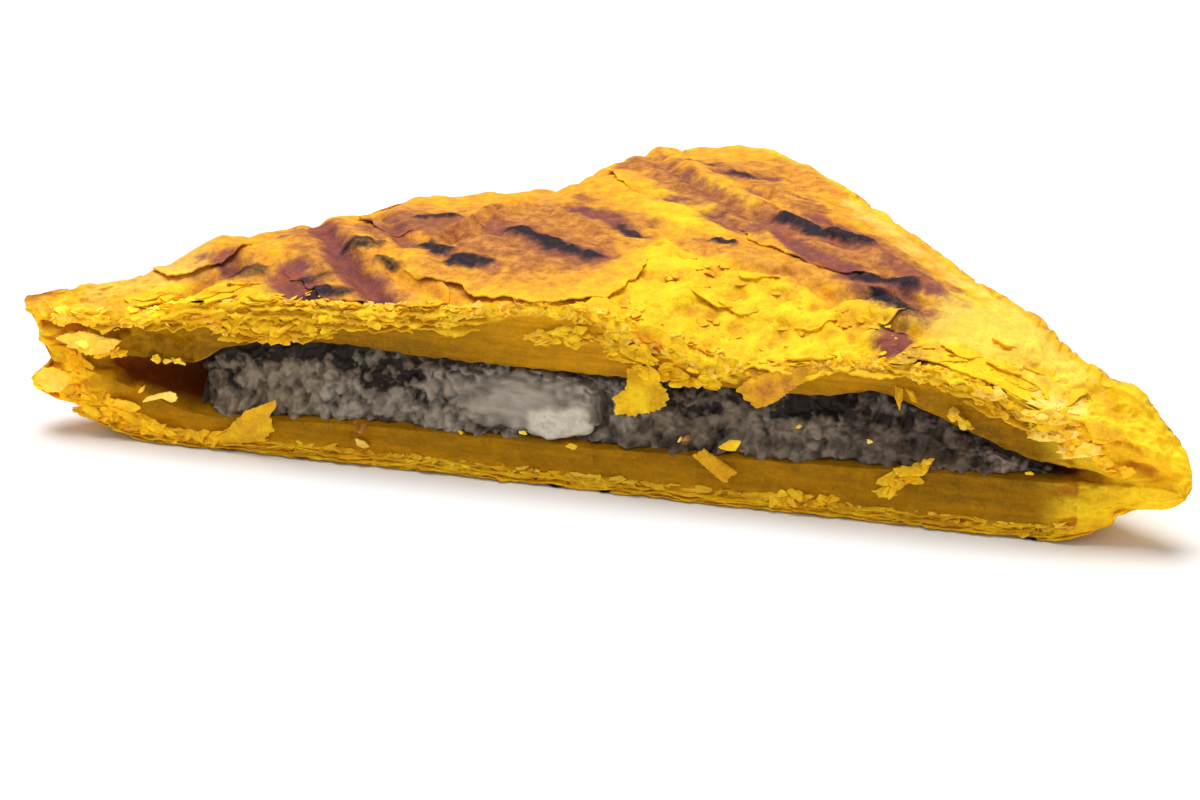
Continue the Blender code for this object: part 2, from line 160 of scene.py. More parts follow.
# Peeled sheets: middle (x, d), lift of the free edge, radius every 30 degrees from +X, the direction
# that the free edge faces, and how brown the sheet is.
TOP_SHEETS = (
    ("big_sheet", (-13, 17), 0.8, (15.5, 15, 15, 16, 15, 14.5, 15, 15.5, 12.5, 15, 19, 19), -75, 0.9),
    ("left_sheet", (-33, 10), 0.3, (8.5, 6.5, 7, 10, 15, 15, 11, 8, 7.5, 9, 10, 17), -80, 0.8),
    ("hump_sheet", (-32, 33), 0.3, (8, 9, 11, 10.5, 9.5, 9.5, 8, 8, 9.5, 12, 10, 8), 195, 0.85),
    ("far_left_sheet", (-55, 14), 0.6, (6, 7, 7.5, 7, 6, 6, 6.5, 7, 7, 6.5, 6, 6), -70, 0.5),
    ("upper_sheet", (-5, 54), 0.5, (6, 6, 7, 9, 9.6, 8.6, 7.6, 6.8, 8.4, 11, 12, 9), 185, 0.8),
    ("ridge_sheet", (22, 30), 0.15, (8, 6, 6.5, 9, 15, 13, 10, 8, 7, 8.5, 12, 15), -120, 0.8),
    ("flaky_patch", (51, 4.5), 0.5, (10, 7, 5, 5, 5.5, 7, 10, 7, 5, 4.5, 5, 7.5), -90, 0.0),
    (
        "right_patch", (58.6, 3.0), 0.6,
        (3.4, 2.8, 2.4, 2.6, 2.8, 3.0, 3.2, 2.8, 2.4, 2.6, 3.0, 3.2), -90, 0.0,
    ),
)
# Flakes on the cut: the side that joins the pastry, how far they stand out, how brown they are (below 0
# they are pale) and their outline (x, z) as it shows in the photograph.
CUT_FLAKES = (
    ("hanging_flake", 90, 1.7, 0.0, (
        (5.4, 16.4), (9.4, 16.6), (9.6, 15.1), (10.8, 13.5), (10.2, 12.1), (8.8, 11.2), (6.4, 10.4),
        (4.0, 10.3), (3.6, 12.4), (5.4, 14.0),
    )),
    ("strip_flake", 120, 0.9, 0.4, (
        (13.8, 5.9), (15.3, 6.9), (19.4, 4.4), (17.9, 2.6),
    )),
    ("curled_flake", -110, 2.0, 0.3, (
        (-50.8, 0.6), (-48.6, 1.3), (-46.6, 3.4), (-44.6, 5.4), (-42.6, 6.3), (-40.4, 7.5), (-40.1, 7.0),
        (-41.3, 5.2), (-41.0, 3.2), (-42.4, 1.5), (-45.6, 0.8), (-48.4, 0.2),
    )),
    ("orange_flap", 60, 1.3, 0.7, (
        (19.3, 15.0), (20.8, 16.7), (22.9, 17.8), (26.0, 18.8), (28.6, 19.4), (30.4, 19.0), (29.0, 17.8),
        (26.6, 16.2), (24.3, 14.2), (22.0, 13.0), (20.8, 13.8),
    )),
    ("tail_flake", -90, 1.0, 0.0, (
        (-63.0, 3.9), (-60.2, 3.4), (-57.8, 2.2), (-58.4, 1.2), (-61.0, 2.2),
    )),
    ("crescent_flake", -90, 1.2, -0.3, (
        (-58.7, 5.0), (-58.0, 5.8), (-56.6, 6.4), (-54.8, 6.9), (-54.0, 6.6), (-54.0, 5.7), (-54.9, 5.4),
        (-55.9, 5.9), (-57.3, 5.4),
    )),
    ("left_ledge", 90, 1.4, -0.13, (
        (-70.0, 12.8), (-68.4, 13.4), (-66.3, 13.8), (-64.0, 13.5), (-61.2, 13.0), (-61.9, 12.2),
        (-63.5, 11.2), (-66.2, 10.7), (-66.8, 11.3), (-68.4, 11.9), (-70.0, 12.3),
    )),
    ("left_ear", 0, 1.6, -0.12, (
        (-73.1, 7.4), (-72.9, 6.1), (-71.9, 4.9), (-69.7, 5.2), (-67.1, 6.2), (-66.7, 7.4), (-68.6, 7.9),
        (-70.6, 8.4), (-72.2, 8.2),
    )),
    ("left_lump", -90, 1.0, -0.05, (
        (-64.0, 4.1), (-62.1, 5.1), (-60.0, 4.9), (-58.9, 4.1), (-60.9, 3.0), (-63.0, 2.9),
    )),
    ("string_flake", 90, 0.7, 0.0, (
        (39.1, 17.9), (40.1, 17.6), (40.1, 16.4), (39.7, 14.8), (39.1, 16.2),
    )),
    ("string_flake_side", 90, 0.6, 0.0, (
        (40.4, 17.6), (41.4, 17.4), (42.0, 15.9), (41.1, 16.1),
    )),
    ("slab_crumb", -90, 0.6, -0.2, (
        (-30.2, 3.3), (-28.9, 3.0), (-28.2, 2.3), (-29.0, 2.0), (-30.0, 2.3),
    )),
    ("right_flake_inner", 90, 0.9, -0.2, (
        (48.3, 18.0), (49.5, 18.7), (51.6, 18.6), (52.8, 17.9), (51.3, 17.2), (49.2, 17.2),
    )),
    ("right_flake_middle", 90, 1.1, -0.2, (
        (54.2, 15.2), (56.6, 16.6), (59.4, 16.4), (61.0, 15.6), (59.2, 15.0), (57.0, 14.8),
    )),
    ("right_flake_low", 90, 1.2, -0.25, (
        (55.3, 12.9), (56.1, 13.8), (59.0, 14.6), (62.0, 14.5), (61.4, 13.5), (59.1, 12.9), (57.0, 12.6),
    )),
    ("right_flake_end", 90, 1.3, -0.3, (
        (59.3, 11.7), (60.3, 12.7), (62.6, 13.2), (64.4, 12.9), (64.4, 11.8), (62.1, 11.1), (60.0, 10.8),
    )),
    ("right_flap", 60, 0.8, -0.05, (
        (62.2, 16.0), (63.6, 16.6), (65.6, 16.0), (67.2, 15.2), (67.2, 14.0), (65.2, 13.4), (63.2, 14.0),
    )),
)
# How far a place that stands 1 out of the cut shows to the left and below, in the photograph.
SIGHT = (0.277, 0.388)
# Clumps of small torn flakes on the cut: middle (x, z), width, height, turn, number of flakes, how far
# they stand out and how pale they are.
CUT_CLUMPS = (
    ((-64.6, 11.6), 7.0, 1.4, -8, 22, 1.2, 0.1),
    ((-55.2, 11.2), 5.0, 0.7, 0, 9, 0.3, 0.5),
    ((-65.4, 4.8), 8.0, 2.6, -20, 70, 1.1, 0.0),
    ((-68.4, 5.6), 4.0, 2.0, -10, 26, 1.2, 0.0),
    ((-57.0, 1.6), 9.0, 1.8, -10, 50, 1.0, 0.05),
    ((-68.0, 9.4), 3.4, 2.2, -40, 18, 0.5, 0.0),
    ((-46.0, 17.4), 6.0, 2.6, -10, 40, 1.1, 0.05),
    ((-39.6, 17.0), 8.0, 3.4, 8, 70, 1.3, 0.05),
    ((-34.6, 18.4), 5.0, 2.4, 20, 30, 1.0, 0.1),
    ((-26.0, 19.6), 7.0, 1.6, -6, 34, 1.0, 0.15),
    ((51.0, 17.4), 5.0, 2.2, -20, 24, 0.9, 0.2),
    ((62.6, 13.6), 6.0, 3.0, -20, 24, 0.8, 0.2),
    ((66.0, 10.4), 4.0, 1.8, -14, 14, 0.8, 0.2),
    ((47.4, 14.4), 3.4, 1.2, -30, 10, 0.8, 0.3),
    ((40.4, 6.0), 7.5, 2.4, 38, 40, 0.9, 0.1),
    ((27.4, 1.7), 9.0, 1.4, 4, 30, 1.0, 0.1),
    ((-62.0, 3.2), 8.0, 1.8, -14, 30, 1.0, 0.0),
    ((-50.0, 1.6), 7.0, 1.8, 10, 30, 1.3, 0.05),
    ((-2.0, 20.0), 12.0, 2.2, 6, 50, 0.6, 0.2),
    ((10.0, 17.4), 14.0, 3.4, -12, 90, 0.9, 0.05),
    ((50.8, 18.4), 4.0, 1.4, -10, 16, 1.4, 0.6),
    ((57.8, 16.0), 6.4, 1.7, -6, 26, 1.7, 0.6),
    ((59.4, 13.9), 6.4, 1.6, -4, 26, 1.8, 0.6),
    ((62.6, 12.2), 5.0, 1.8, -4, 20, 1.9, 0.6),
    ((-65.4, 12.6), 6.0, 1.8, -6, 20, 1.9, 0.5),
)
# Crumbs on the filling and the lower crumb: place (x, z), length and turn.
PALE_CRUMBS = (
    ((-7.9, 6.7), 1.1, 10), ((-1.7, 5.3), 1.4, 0), ((12.4, 8.1), 0.8, 40), ((18.8, 8.0), 2.2, 16),
    ((-16.0, 5.8), 0.7, 0), ((27.4, 11.5), 0.8, 30), ((36.2, 10.5), 0.9, -20), ((56.0, 8.6), 1.0, 10),
    ((-58.6, 7.0), 1.0, 60),
)
RED_SPECKS = (((-29.2, 4.7), 1.6, 70), ((-30.0, 5.6), 0.8, 20), ((13.2, 8.3), 1.2, 10))

# Looks of the top as strokes: strength, half width, points (x, d). Browned skin, skin toasted darker,
# pale places with a painted sheen along the right edge, purple-brown press marks and black burnt spots.
SKIN_STROKES = (
    (0.95, 8.0, ((-70, 7), (-58, 16))),
    (0.95, 12.0, ((-52, 14), (-34, 22), (-30, 34))),
    (1.0, 15.0, ((-24, 12), (-12, 22), (-16, 34))),
    (0.9, 13.0, ((-16, 45), (-8, 58), (6, 68))),
    (0.95, 11.0, ((6, 62), (12, 54), (24, 38), (32, 27))),
    (0.9, 7.0, ((8, 24), (20, 22), (30, 17))),
    (0.45, 3.0, ((18, 7), (30, 9))),
    (0.35, 5.0, ((36, 10), (44, 20))),
)
TOAST_STROKES = (
    (1.0, 8.2, ((-19, 22), (-8, 17))),
    (0.75, 5.0, ((-16, 32), (-3, 27))),
    (0.5, 5.0, ((-22, 12), (-10, 9))),
    (1.0, 3.4, ((-34, 21), (-30, 23), (-26, 23))),
    (0.5, 5.0, ((-36, 30), (-28, 30))),
    (0.5, 5.0, ((8, 65), (16, 56))),
    (0.8, 3.5, ((-46, 24), (-34, 8), (-28, 3))),
    (0.5, 3.5, ((-52, 9), (-40, 6))),
    (0.55, 1.8, ((-74.5, 1.5), (-73, 3))),
    (0.9, 3.0, ((-12, 62), (-2, 50), (8, 38))),
    (0.9, 5.0, ((12, 36), (24, 27), (34, 17))),
    (0.8, 3.4, ((17, 43), (30, 31), (41, 18))),
    (0.6, 4.0, ((6, 60), (12, 48))),
    (0.48, 3.4, ((8, 22), (16, 20), (24, 16))),
    (0.6, 4.0, ((34, 11), (40, 4))),
)
SHEEN_AND_PALE_STROKES = (
    # Painted sheen along the rounded right edge.
    (0.45, 3.4, ((24, 52), (34, 40), (46, 26), (54, 16))),
    (0.35, 6.0, ((46, 12), (58, 12))),
    (0.8, 2.4, ((57, 3), (60, 3))),
    (0.3, 5.0, ((-66, 8), (-58, 10))),
)
SCORCH_STROKES = (
    (0.9, 1.7, ((-51, 10.5), (-48, 8.5))),
    (0.6, 0.9, ((-55, 11), (-51, 10.5))),
    (1.0, 2.7, ((-41, 7), (-38, 3.5), (-35.5, 1))),
    (0.5, 2.6, ((-33, 21), (-28, 23))),
    (1.0, 1.9, ((-44, 26), (-36, 12), (-32, 7), (-26, 2))),
    (0.7, 2.6, ((-33, 28), (-26, 26))),
    (0.75, 1.1, ((-36, 30), (-28, 16))),
    (0.65, 1.7, ((-27, 16), (-22, 14), (-15, 10))),
    (0.75, 2.4, ((-18, 23), (-12, 20), (-8, 16), (-3, 15))),
    (0.9, 1.5, ((-11, 33), (-7, 31), (-4, 28), (0, 24))),
    (0.6, 1.1, ((-12, 38), (-10, 37))),
    (0.4, 1.1, ((-10, 65), (-2, 52), (4, 43), (9, 37), (14, 35))),
    (0.55, 1.6, ((-2, 53), (4, 45))),
    (0.8, 1.2, ((-3, 59), (1, 60))),
    (0.85, 1.7, ((3, 56), (7, 55), (9, 58))),
    (0.8, 0.9, ((8, 47), (10, 47))),
    (0.8, 1.2, ((0, 40), (1, 41))),
    (0.9, 0.9, ((6, 36), (8, 36))),
    (0.75, 2.3, ((15, 36), (20, 34), (26, 30), (29, 29))),
    (0.65, 1.5, ((7, 34), (12, 31.5), (17, 33))),
    (0.9, 1.9, ((17, 31), (20, 26), (28, 20), (31, 17))),
    (0.75, 2.3, ((29, 18), (36, 18))),
    (0.7, 2.8, ((33, 15), (39, 11))),
    (0.95, 2.2, ((37, 6), (40, 2))),
    (0.8, 1.6, ((19, 41), (26, 35), (29, 30), (34, 24), (41, 17))),
    (0.7, 1.0, ((14, 48), (17, 48))),
    (0.5, 1.8, ((9, 24), (12, 24))),
)
CHAR_STROKES = (
    (0.75, 1.5, ((-48, 8), (-46, 8))),
    (0.7, 0.8, ((-39, 6), (-36, 7))),
    (0.9, 1.2, ((-36, 3), (-32, 3))),
    (0.8, 1.0, ((-35, 14), (-31, 14))),
    (0.8, 0.8, ((-30, 11), (-28, 10))),
    (0.85, 1.2, ((-31, 28), (-26, 27.5))),
    (0.95, 1.2, ((-26, 16), (-23, 14.5))),
    (0.95, 1.5, ((-20, 12.5), (-17, 11))),
    (1.0, 1.4, ((-16, 22), (-12, 20), (-8, 16.5), (-4, 15))),
    (0.9, 1.0, ((-3, 27), (0, 24))),
    (1.0, 1.2, ((16, 35.5), (20, 34), (26, 31), (29, 29.5))),
    (0.95, 1.5, ((30, 18.5), (36, 18.5))),
    (0.95, 1.5, ((34, 14), (38, 11.5))),
    (0.9, 0.9, ((36, 8), (38, 7))),
    (0.8, 0.9, ((-2, 58.5), (0, 59.5))),
    (0.85, 1.1, ((4, 56), (7, 55))),
    (1.0, 1.2, ((10, 24), (12, 24))),
)
# Creases and bulges of the cut's own face: the line (x, z) along it, its width and its height.
FACE_FOLDS = (
    (((-72, 14.2), (-66, 14.7), (-61, 14.3)), 0.6, -1.2),
    (((-71, 12.6), (-66, 12.6), (-62, 12.4)), 0.9, 0.7),
    (((-73, 6.8), (-68, 7.2), (-64, 6.6)), 1.5, 0.8),
    (((-73, 4.8), (-69, 5.3)), 0.4, -0.8),
    (((-66, 4.0), (-60, 3.0)), 0.8, 0.5),
    (((65.7, 15.6), (69.2, 14.1)), 0.4, -0.5),
    (((66, 14.0), (72.4, 12.2)), 0.45, -0.6),
    (((68.3, 15.1), (72.1, 13.8)), 0.4, -0.5),
    (((67, 17.5), (71, 16.0)), 0.9, 0.5),
    (((68.2, 10.6), (70.4, 9.8)), 0.8, -1.0),
    (((66, 8.4), (72, 7.6)), 1.6, 0.7),
    (((58, 9.2), (64, 8.6), (68, 8.0)), 0.5, -0.6),
)
# How light the crumb of the cut is along it, above and below the filling: its tone with painted shade and
# light.
BAND_TONE_AND_SHADE = (
    (-75, 0.1), (-64, -0.05), (-60, -0.1), (-50, -0.14), (-44, -0.08), (-36, -0.18), (-16, -0.1),
    (-6, 0.2), (4, 0.4), (14, 0.28), (22, 0.12), (34, 0.04), (44, -0.1), (50, -0.2), (60, -0.12), (75, 0.2),
)
SLAB_TONE_AND_SHADE = (
    (-75, 0.25), (-60, 0.18), (-44, 0.0), (-20, -0.15), (4, -0.18), (24, -0.17), (44, -0.25),
    (60, -0.2), (75, 0.2),
)
# How far the torn fringe hangs below the lip.
LIP_HANG = (
    (-75, 1.4), (-66, 2.0), (-58, 2.2), (-50, 3.2), (-46, 4.8), (-38, 4.8), (-34, 4.2), (-30, 2.6),
    (-20, 2.2), (-12, 1.8), (-5, 1.2), (1, 2.2), (8, 4.4), (18, 3.4), (27, 1.4), (38, 0.9), (45, 2.0),
    (52, 2.8), (60, 3.0), (75, 3.0),
)
# Long torn layers of the cut: first and last x, height below the lip or above the underside, how far
# the layer stands out and how far its edge droops.
LIP_LAYERS = (
    (-72.0, -6.0, 0.2, 0.9, 0.6),
    (-68.0, -10.0, 1.1, 1.1, 0.8),
    (-60.0, -12.0, 2.0, 0.8, 0.7),
    (-50.5, -31.0, 2.9, 0.9, 1.2),
    (-48.5, -33.0, 3.9, 0.6, 1.0),
    (17.0, 62.0, 0.0, 0.9, 0.7),
    (24.0, 47.0, 0.4, 1.3, 0.9),
    (42.0, 63.0, 1.3, 0.9, 0.6),
    (46.0, 62.0, 2.3, 0.8, 0.6),
)
BASE_LAYERS = (
    (-68.0, 66.0, 0.15, 0.7, 0.0),
    (-66.0, 64.0, 0.6, 0.9, 0.1),
    (-64.0, 62.0, 1.1, 0.7, 0.1),
    (-60.0, -8.0, 1.7, 0.5, 0.2),
    (26.0, 60.0, 1.7, 0.5, 0.2),
)

CHEESE_MIDDLE = (-9.6, 3.6, 9.8)
CHEESE_SIZE = (11.4, 3.6, 4.3)
CHEESE_GRAIN = 1.6
# On the cut, as strokes of x and z: mince with lighter grains, mince coated with cheese, painted shade
# in its deep gaps, and the thick part of the cheese.
MINCE_LIGHT = (
    (0.7, 5.0, ((-48, 8), (-34, 9), (-24, 9))),
    (1.0, 2.6, ((-42, 6.6), (-20, 6.8))),
    (0.4, 3.0, ((8, 9), (20, 10), (30, 10))),
    (0.8, 2.5, ((52, 8.6), (59, 8.4))),
)
MINCE_FATTY = (
    (0.9, 2.4, ((-34, 6.8), (-25, 7.4), (-18, 7))),
    (0.8, 3.0, ((-20, 9.5), (-14, 12.6), (-4, 14.4))),
    (1.0, 2.2, ((2.4, 12.5), (3.2, 8))),
    (0.7, 1.4, ((-20, 6.0), (0, 5.2))),
)
MINCE_GAP_SHADE = (
    (0.9, 1.6, ((-33, 12.4), (-29, 11), (-23, 11.8))),
    (1.0, 1.9, ((-48, 13.2), (-40, 14.2), (-35, 14.8))),
    (0.9, 1.0, ((-3, 15.2), (2, 14.7))),
    (0.8, 1.4, ((24, 12.5), (34, 13.5), (40, 12))),
    (1.0, 1.5, ((50, 11.2), (54, 10.2), (58, 9.4))),
    (0.7, 1.2, ((10, 12.5), (16, 11.5))),
)
CHEESE_THICK = (
    (1.0, 2.3, ((-5.6, 7.7), (-1.4, 7.5))),
    (0.4, 3.5, ((-12, 8.5), (0, 10.5))),
)

# Bumps of the surfaces, as rows of height, width and seed, the largest first. Where a piece has a seed of
# its own, it is added.
TOP_WAVES = ((0.75, 13.0, 3), (0.35, 5.5, 4))
LIP_RAGGED = ((0.7, 4.0, 5), (0.5, 1.9, 6), (0.3, 0.9, 7))
SKIN_WRINKLES = ((0.24, 3.2, 61), (0.13, 1.2, 62))
RIM_BUMPS = ((0.25, 3.4, 64), (0.12, 1.1, 65))
ROOF_BUMPS = ((1.0, 1.7, 69), (0.6, 0.8, 70))
TIP_LUMPS = ((0.9, 2.6, 77), (0.5, 1.1, 78), (0.2, 0.5, 79))
SHEET_WAVES = ((0.2, 4.2, 5), (0.10, 1.8, 6))
FLAKE_LUMPS = ((0.7, 2.2, 30), (0.4, 0.9, 33), (0.2, 0.45, 35))
LAYER_WAVES = ((0.22, 1.9, 0), (0.12, 0.8, 0))
MINCE_LUMPS = ((0.8, 3.0, 8), (0.5, 1.5, 9))
MINCE_HOLES = ((0.6, 4.4, 85), (0.45, 2.0, 87), (0.2, 0.6, 86))
CHEESE_LUMPS = ((0.5, 2.8, 95), (0.4, 1.2, 96), (0.2, 0.6, 98))

# Cells of the other meshes: across a sheet, a flake, a thin layer and a chip, along each millimetre of
# a long layer and across it, and round the mince and the cheese. A sheet is wide from this radius on.
SHEET_CELLS = {"wide": 64, "small": 40}
WIDE_SHEET = 12.0
FLAKE_CELLS = 30
LAYER_CELLS = 10
CHIP_CELLS = 4
STRIP_CELLS = (3.0, 4)
MINCE_STATIONS = 520
FILLING_ROWS = {"inside": 18, "face": 48}
CHEESE_CELLS = (150, 90)
# Where the chips of the lip and of the base lie along the cut, and where the thin layers and the chips
# of the torn top may lie: along the cut and behind it.
LIP_SPAN = (-71.0, 62.0)
BASE_SPAN = (-68.0, 62.0)
LAYER_SPAN = (-68.0, 65.0)
TORN_SPAN = (-71.0, 68.0)
TORN_DEPTH = 24.0

# The stage: the floor, the lamps' places, sizes and powers, the light of the room, and the camera. Places
# and sizes are in metres, the camera's sensor and lens in millimetres.
FLOOR_RADIUS = 6.0
FLOOR_DROP = 0.2 * MM
LAMPS = (
    ("overhead", (-0.10, 0.10, 0.75), 0.7, 8.2),
    ("front_fill", (0.25, -0.9, 0.5), 0.6, 1.0),
)
ROOM_LIGHT = 0.34
CAMERA_PLACE = (0.15019, -0.54906, 0.22012)
CAMERA_AIM = (-0.005865, -0.012623, 0.000988)
SENSOR_WIDTH = 36.0
LENS = 138.45


def linear(code):
    """An sRGB hex colour as linear red, green and blue."""
    parts = [int(code[i : i + 2], 16) / 255 for i in (1, 3, 5)]
    return tuple(c / 12.92 if c <= 0.04045 else ((c + 0.055) / 1.055) ** 2.4 for c in parts)


# --- curves and noise


def along(points, x):
    """A smooth curve through (x, value) points."""
    xs = [p[0] for p in points]
    i = min(max(bisect_right(xs, x) - 1, 0), len(points) - 2)
    (x0, v0), (x1, v1) = points[i], points[i + 1]

    def slope(j):
        a, b = points[max(j - 1, 0)], points[min(j + 1, len(points) - 1)]
        return (b[1] - a[1]) / (b[0] - a[0])

    span = x1 - x0
    t = min(max((x - x0) / span, 0.0), 1.0)
    t2, t3 = t * t, t * t * t
    return (
        v0 * (2 * t3 - 3 * t2 + 1)
        + slope(i) * span * (t3 - 2 * t2 + t)
        + v1 * (3 * t2 - 2 * t3)
        + slope(i + 1) * span * (t3 - t2)
    )


def smooth(t):
    """0 below 0, 1 above 1, with a soft start and end."""
    t = min(max(t, 0.0), 1.0)
    return t * t * (3 - 2 * t)


def rough(x, y, size, seed):
    """Even noise from -1 to 1 whose bumps are about `size` millimetres across."""
    return noise.noise(Vector((x / size, y / size, seed * 7.31)))


def bumps(x, y, rows, seed=0):
    """Height of bumps of several sizes on each other."""
    return sum(height * rough(x, y, size, seed + own) for height, size, own in rows)


def rough_over(places, size, seed):
    """The noise at each of many places."""
    return np.array([rough(x, y, size, seed) for x, y in places])


def wandering(places, size, seed):
    """A smooth random shift of each place, about 1 at most, as an array of pairs."""
    return np.column_stack([rough_over(places, size, seed), rough_over(places, size, seed + 4)])


# --- the form, shared by all pieces


def tip_share(x):
    """1 along the half, falling to 0 round each tip."""
    t = max(abs(x) - TIP_START, 0.0) / (HALF_LENGTH + 0.6 - TIP_START)
    return math.sqrt(max(1.0 - t * t, 0.0))


def depth_at(x):
    """Distance from the cut to the folded side at x."""
    right = RIGHT_LEG_SLOPE * (RIGHT_LEG_END - x)
    left = LEFT_LEG_SLOPE * (LEFT_LEG_END + x)
    legs = (right + left) / 2 - math.hypot((right - left) / 2, APEX_ROUNDING)
    tip = TIP_DEPTH * tip_share(x)
    ragged = 0.7 * rough(x, 0, 9.0, 2) * smooth((HALF_LENGTH - abs(x)) / 12)
    return (legs + tip) / 2 + math.hypot((legs - tip) / 2, 2.2) + ragged - 0.6


def lift_at(x):
    """Height of the underside: flat, then rising to the tips."""
    lift = TIP_LIFT[0] if x < 0 else TIP_LIFT[1]
    return lift * smooth((abs(x) - FLAT_HALF_LENGTH) / (HALF_LENGTH - FLAT_HALF_LENGTH))


def top_at(x, d):
    """Height of the outer top surface at x, a distance d behind the cut."""
    depth = depth_at(x)
    height = along(LIP, x)
    height += (along(CROWN, x) - height) * smooth(d / min(CROWN_REACH, 1.2 * depth))
    height += (along(SHOULDER, x) - height) * smooth((d / depth - 0.45) / 0.55)
    # Shallow furrows where the press ran, parallel to the right-hand side.
    across = (x * RIGHT_LEG_SLOPE + d) / math.hypot(RIGHT_LEG_SLOPE, 1.0)
    furrow = max(0.0, math.cos(2 * math.pi * across / FURROW_PITCH)) ** 3
    relief = bumps(x, d, TOP_WAVES) - FURROW_DEPTH * furrow
    return height + relief * smooth(d / 4.0) * smooth((depth - d) / 4.0)


def hollow_at(x):
    """(middle height, half height, depth) of the hollow at x. Past its ends it has no depth."""
    ceiling, floor = along(CEILING, x), along(FLOOR, x)
    ends = smooth((x - CAVITY[0]) / 12.0) * smooth((CAVITY[1] - x) / 12.0)
    depth = max(depth_at(x) - CAVITY_WALL, 9.0) * ends
    return (ceiling + floor) / 2, (ceiling - floor) / 2, depth


def side_rows(x, depth, rim, low, high):
    """The rounded folded side at x, from the base to the top, with the seam of its two sheets."""
    loop = []
    for i in range(1, ROWS["rim"]):
        t = i / ROWS["rim"]
        bulge = rim * math.sin(math.pi * t) ** 0.8 + 0.5 * rough(x, t * 14, 6.0, 10)
        groove = SEAM_GROOVE * math.exp(-(((t - 0.5) / 0.07) ** 2)) * smooth(depth / 20)
        height = low + (high - low) * (1 - math.cos(math.pi * t)) / 2
        loop.append((depth - rim + bulge - groove, height, RIM))
    return loop


def crust_section(x):
    """The closed outline of the pastry at x, as (distance behind the cut, height, zone)."""
    depth, lift = depth_at(x), lift_at(x)
    rim = min(RIM_RADIUS, 0.45 * depth)
    full = smooth((tip_share(x) - 0.36) / 0.5)
    loop = [((depth - rim) * i / ROWS["base"], lift, BASE) for i in range(ROWS["base"] + 1)]
    loop += side_rows(x, depth, rim, lift, top_at(x, depth - rim))
    front = min(FRONT_DEPTH, 0.6 * (depth - rim))
    behind = [depth - rim - (depth - rim - front) * i / ROWS["back"] for i in range(ROWS["back"])]
    behind += [front * (1 - i / ROWS["front"]) for i in range(ROWS["front"])]
    loop += [(d, top_at(x, d), TOP) for d in behind]
    middle, half, back = hollow_at(x)
    lip_z = top_at(x, 0.0)
    loop.append((-bumps(x, 1.0, LIP_RAGGED) * full - 0.3, lip_z - 0.7, UPPER_CUT))
    for i in range(1, ROWS["upper_cut"]):
        t = i / ROWS["upper_cut"]
        height = lip_z - 1.2 + (middle + half + 1.2 - lip_z) * t
        loop.append((CRUMB_BACK * full * smooth(t), height, UPPER_CUT))
    for i in range(ROWS["hollow"] + 1):
        turn = math.pi * i / ROWS["hollow"]
        up = math.cos(turn)
        height = middle + half * math.copysign(abs(up) ** 0.6, up)
        loop.append((CRUMB_BACK * full + back * math.sin(turn) ** 0.6, height, HOLLOW))
    floor_z = middle - half
    for i in range(1, ROWS["lower_cut"] + 1):
        t = i / (ROWS["lower_cut"] + 1)
        wavy = full * (0.5 * rough(x, t * 5, 5.0, 7) + 0.3 * (1 - t))
        loop.append((wavy, floor_z + (lift - floor_z) * t, LOWER_CUT))
    thinned = TIP_THINNING[0] if x < 0 else TIP_THINNING[1]
    share = 1 - thinned * (1 - tip_share(x))
    centre = (lift + lip_z) / 2
    return [(d, centre + (z - centre) * share, zone) for d, z, zone in loop]


def nose(x, z):
    """How far a point of the tips moves along the cut: a mouth at the left, a blunt nose at the right."""
    if x < 0:
        return along(MOUTH, z) * smooth((-x - 65) / 8)
    blunt = 0.035 * max(z - 9.0, 0.0) ** 2 + max(7.2 - z, 0.0) ** 2
    return -blunt * smooth((x - 66) / 9)


def rim_start(x):
    """Distance from the cut at which the top starts to round over into the folded side."""
    return min(depth_at(x) - RIM_RADIUS, 0.52 * depth_at(x))


def top_normal(x, d):
    """The top surface's normal at a place."""
    step = 0.4
    along_x = top_at(x + step, d) - top_at(x - step, d)
    along_d = top_at(x, d + step) - top_at(x, d - step)
    return Vector((-along_x / (2 * step), -along_d / (2 * step), 1.0)).normalized()


def placed(points):
    """Points (x, d, z) in millimetres, as an array of places in the frame, in metres."""
    return (np.asarray(points, float) + (0.0, CUT_Y, 0.0)) * MM


def stations(first, last, count, crowding):
    """Places along the cut, closer together near both ends."""
    middle, half = (first + last) / 2, (last - first) / 2
    found = []
    for i in range(count + 1):
        t = 2 * i / count - 1
        bent = t * (1 - crowding) + math.sin(t * math.pi / 2) * crowding
        found.append(middle + half * bent)
    return found


# --- how baked and how torn a place is


def distance_to(points, places):
    """How far each place is from the line through the points."""
    nearest = np.full(len(places), np.inf)
    for start, end in zip(points, points[1:]):
        start, way = np.array(start, float), np.subtract(end, start).astype(float)
        share = np.clip((places - start) @ way / (way @ way), 0, 1)
        gap = places - start - share[:, None] * way
        nearest = np.minimum(nearest, np.hypot(gap[:, 0], gap[:, 1]))
    return nearest


def folds_at(folds, places):
    """Height of the folds and creases at each place."""
    found = np.zeros(len(places))
    for points, width, height in folds:
        found += height * np.exp(-((distance_to(points, places) / width) ** 2))
    return found


def stroke_mask(strokes, places):
    """The strongest stroke at each place (x, d), fading out over its half width."""
    found = np.zeros(len(places))
    for strength, half_width, points in strokes:
        t = np.clip(1.5 - distance_to(points, places) / half_width, 0, 1)
        found = np.maximum(found, strength * t * t * (3 - 2 * t))
    return found


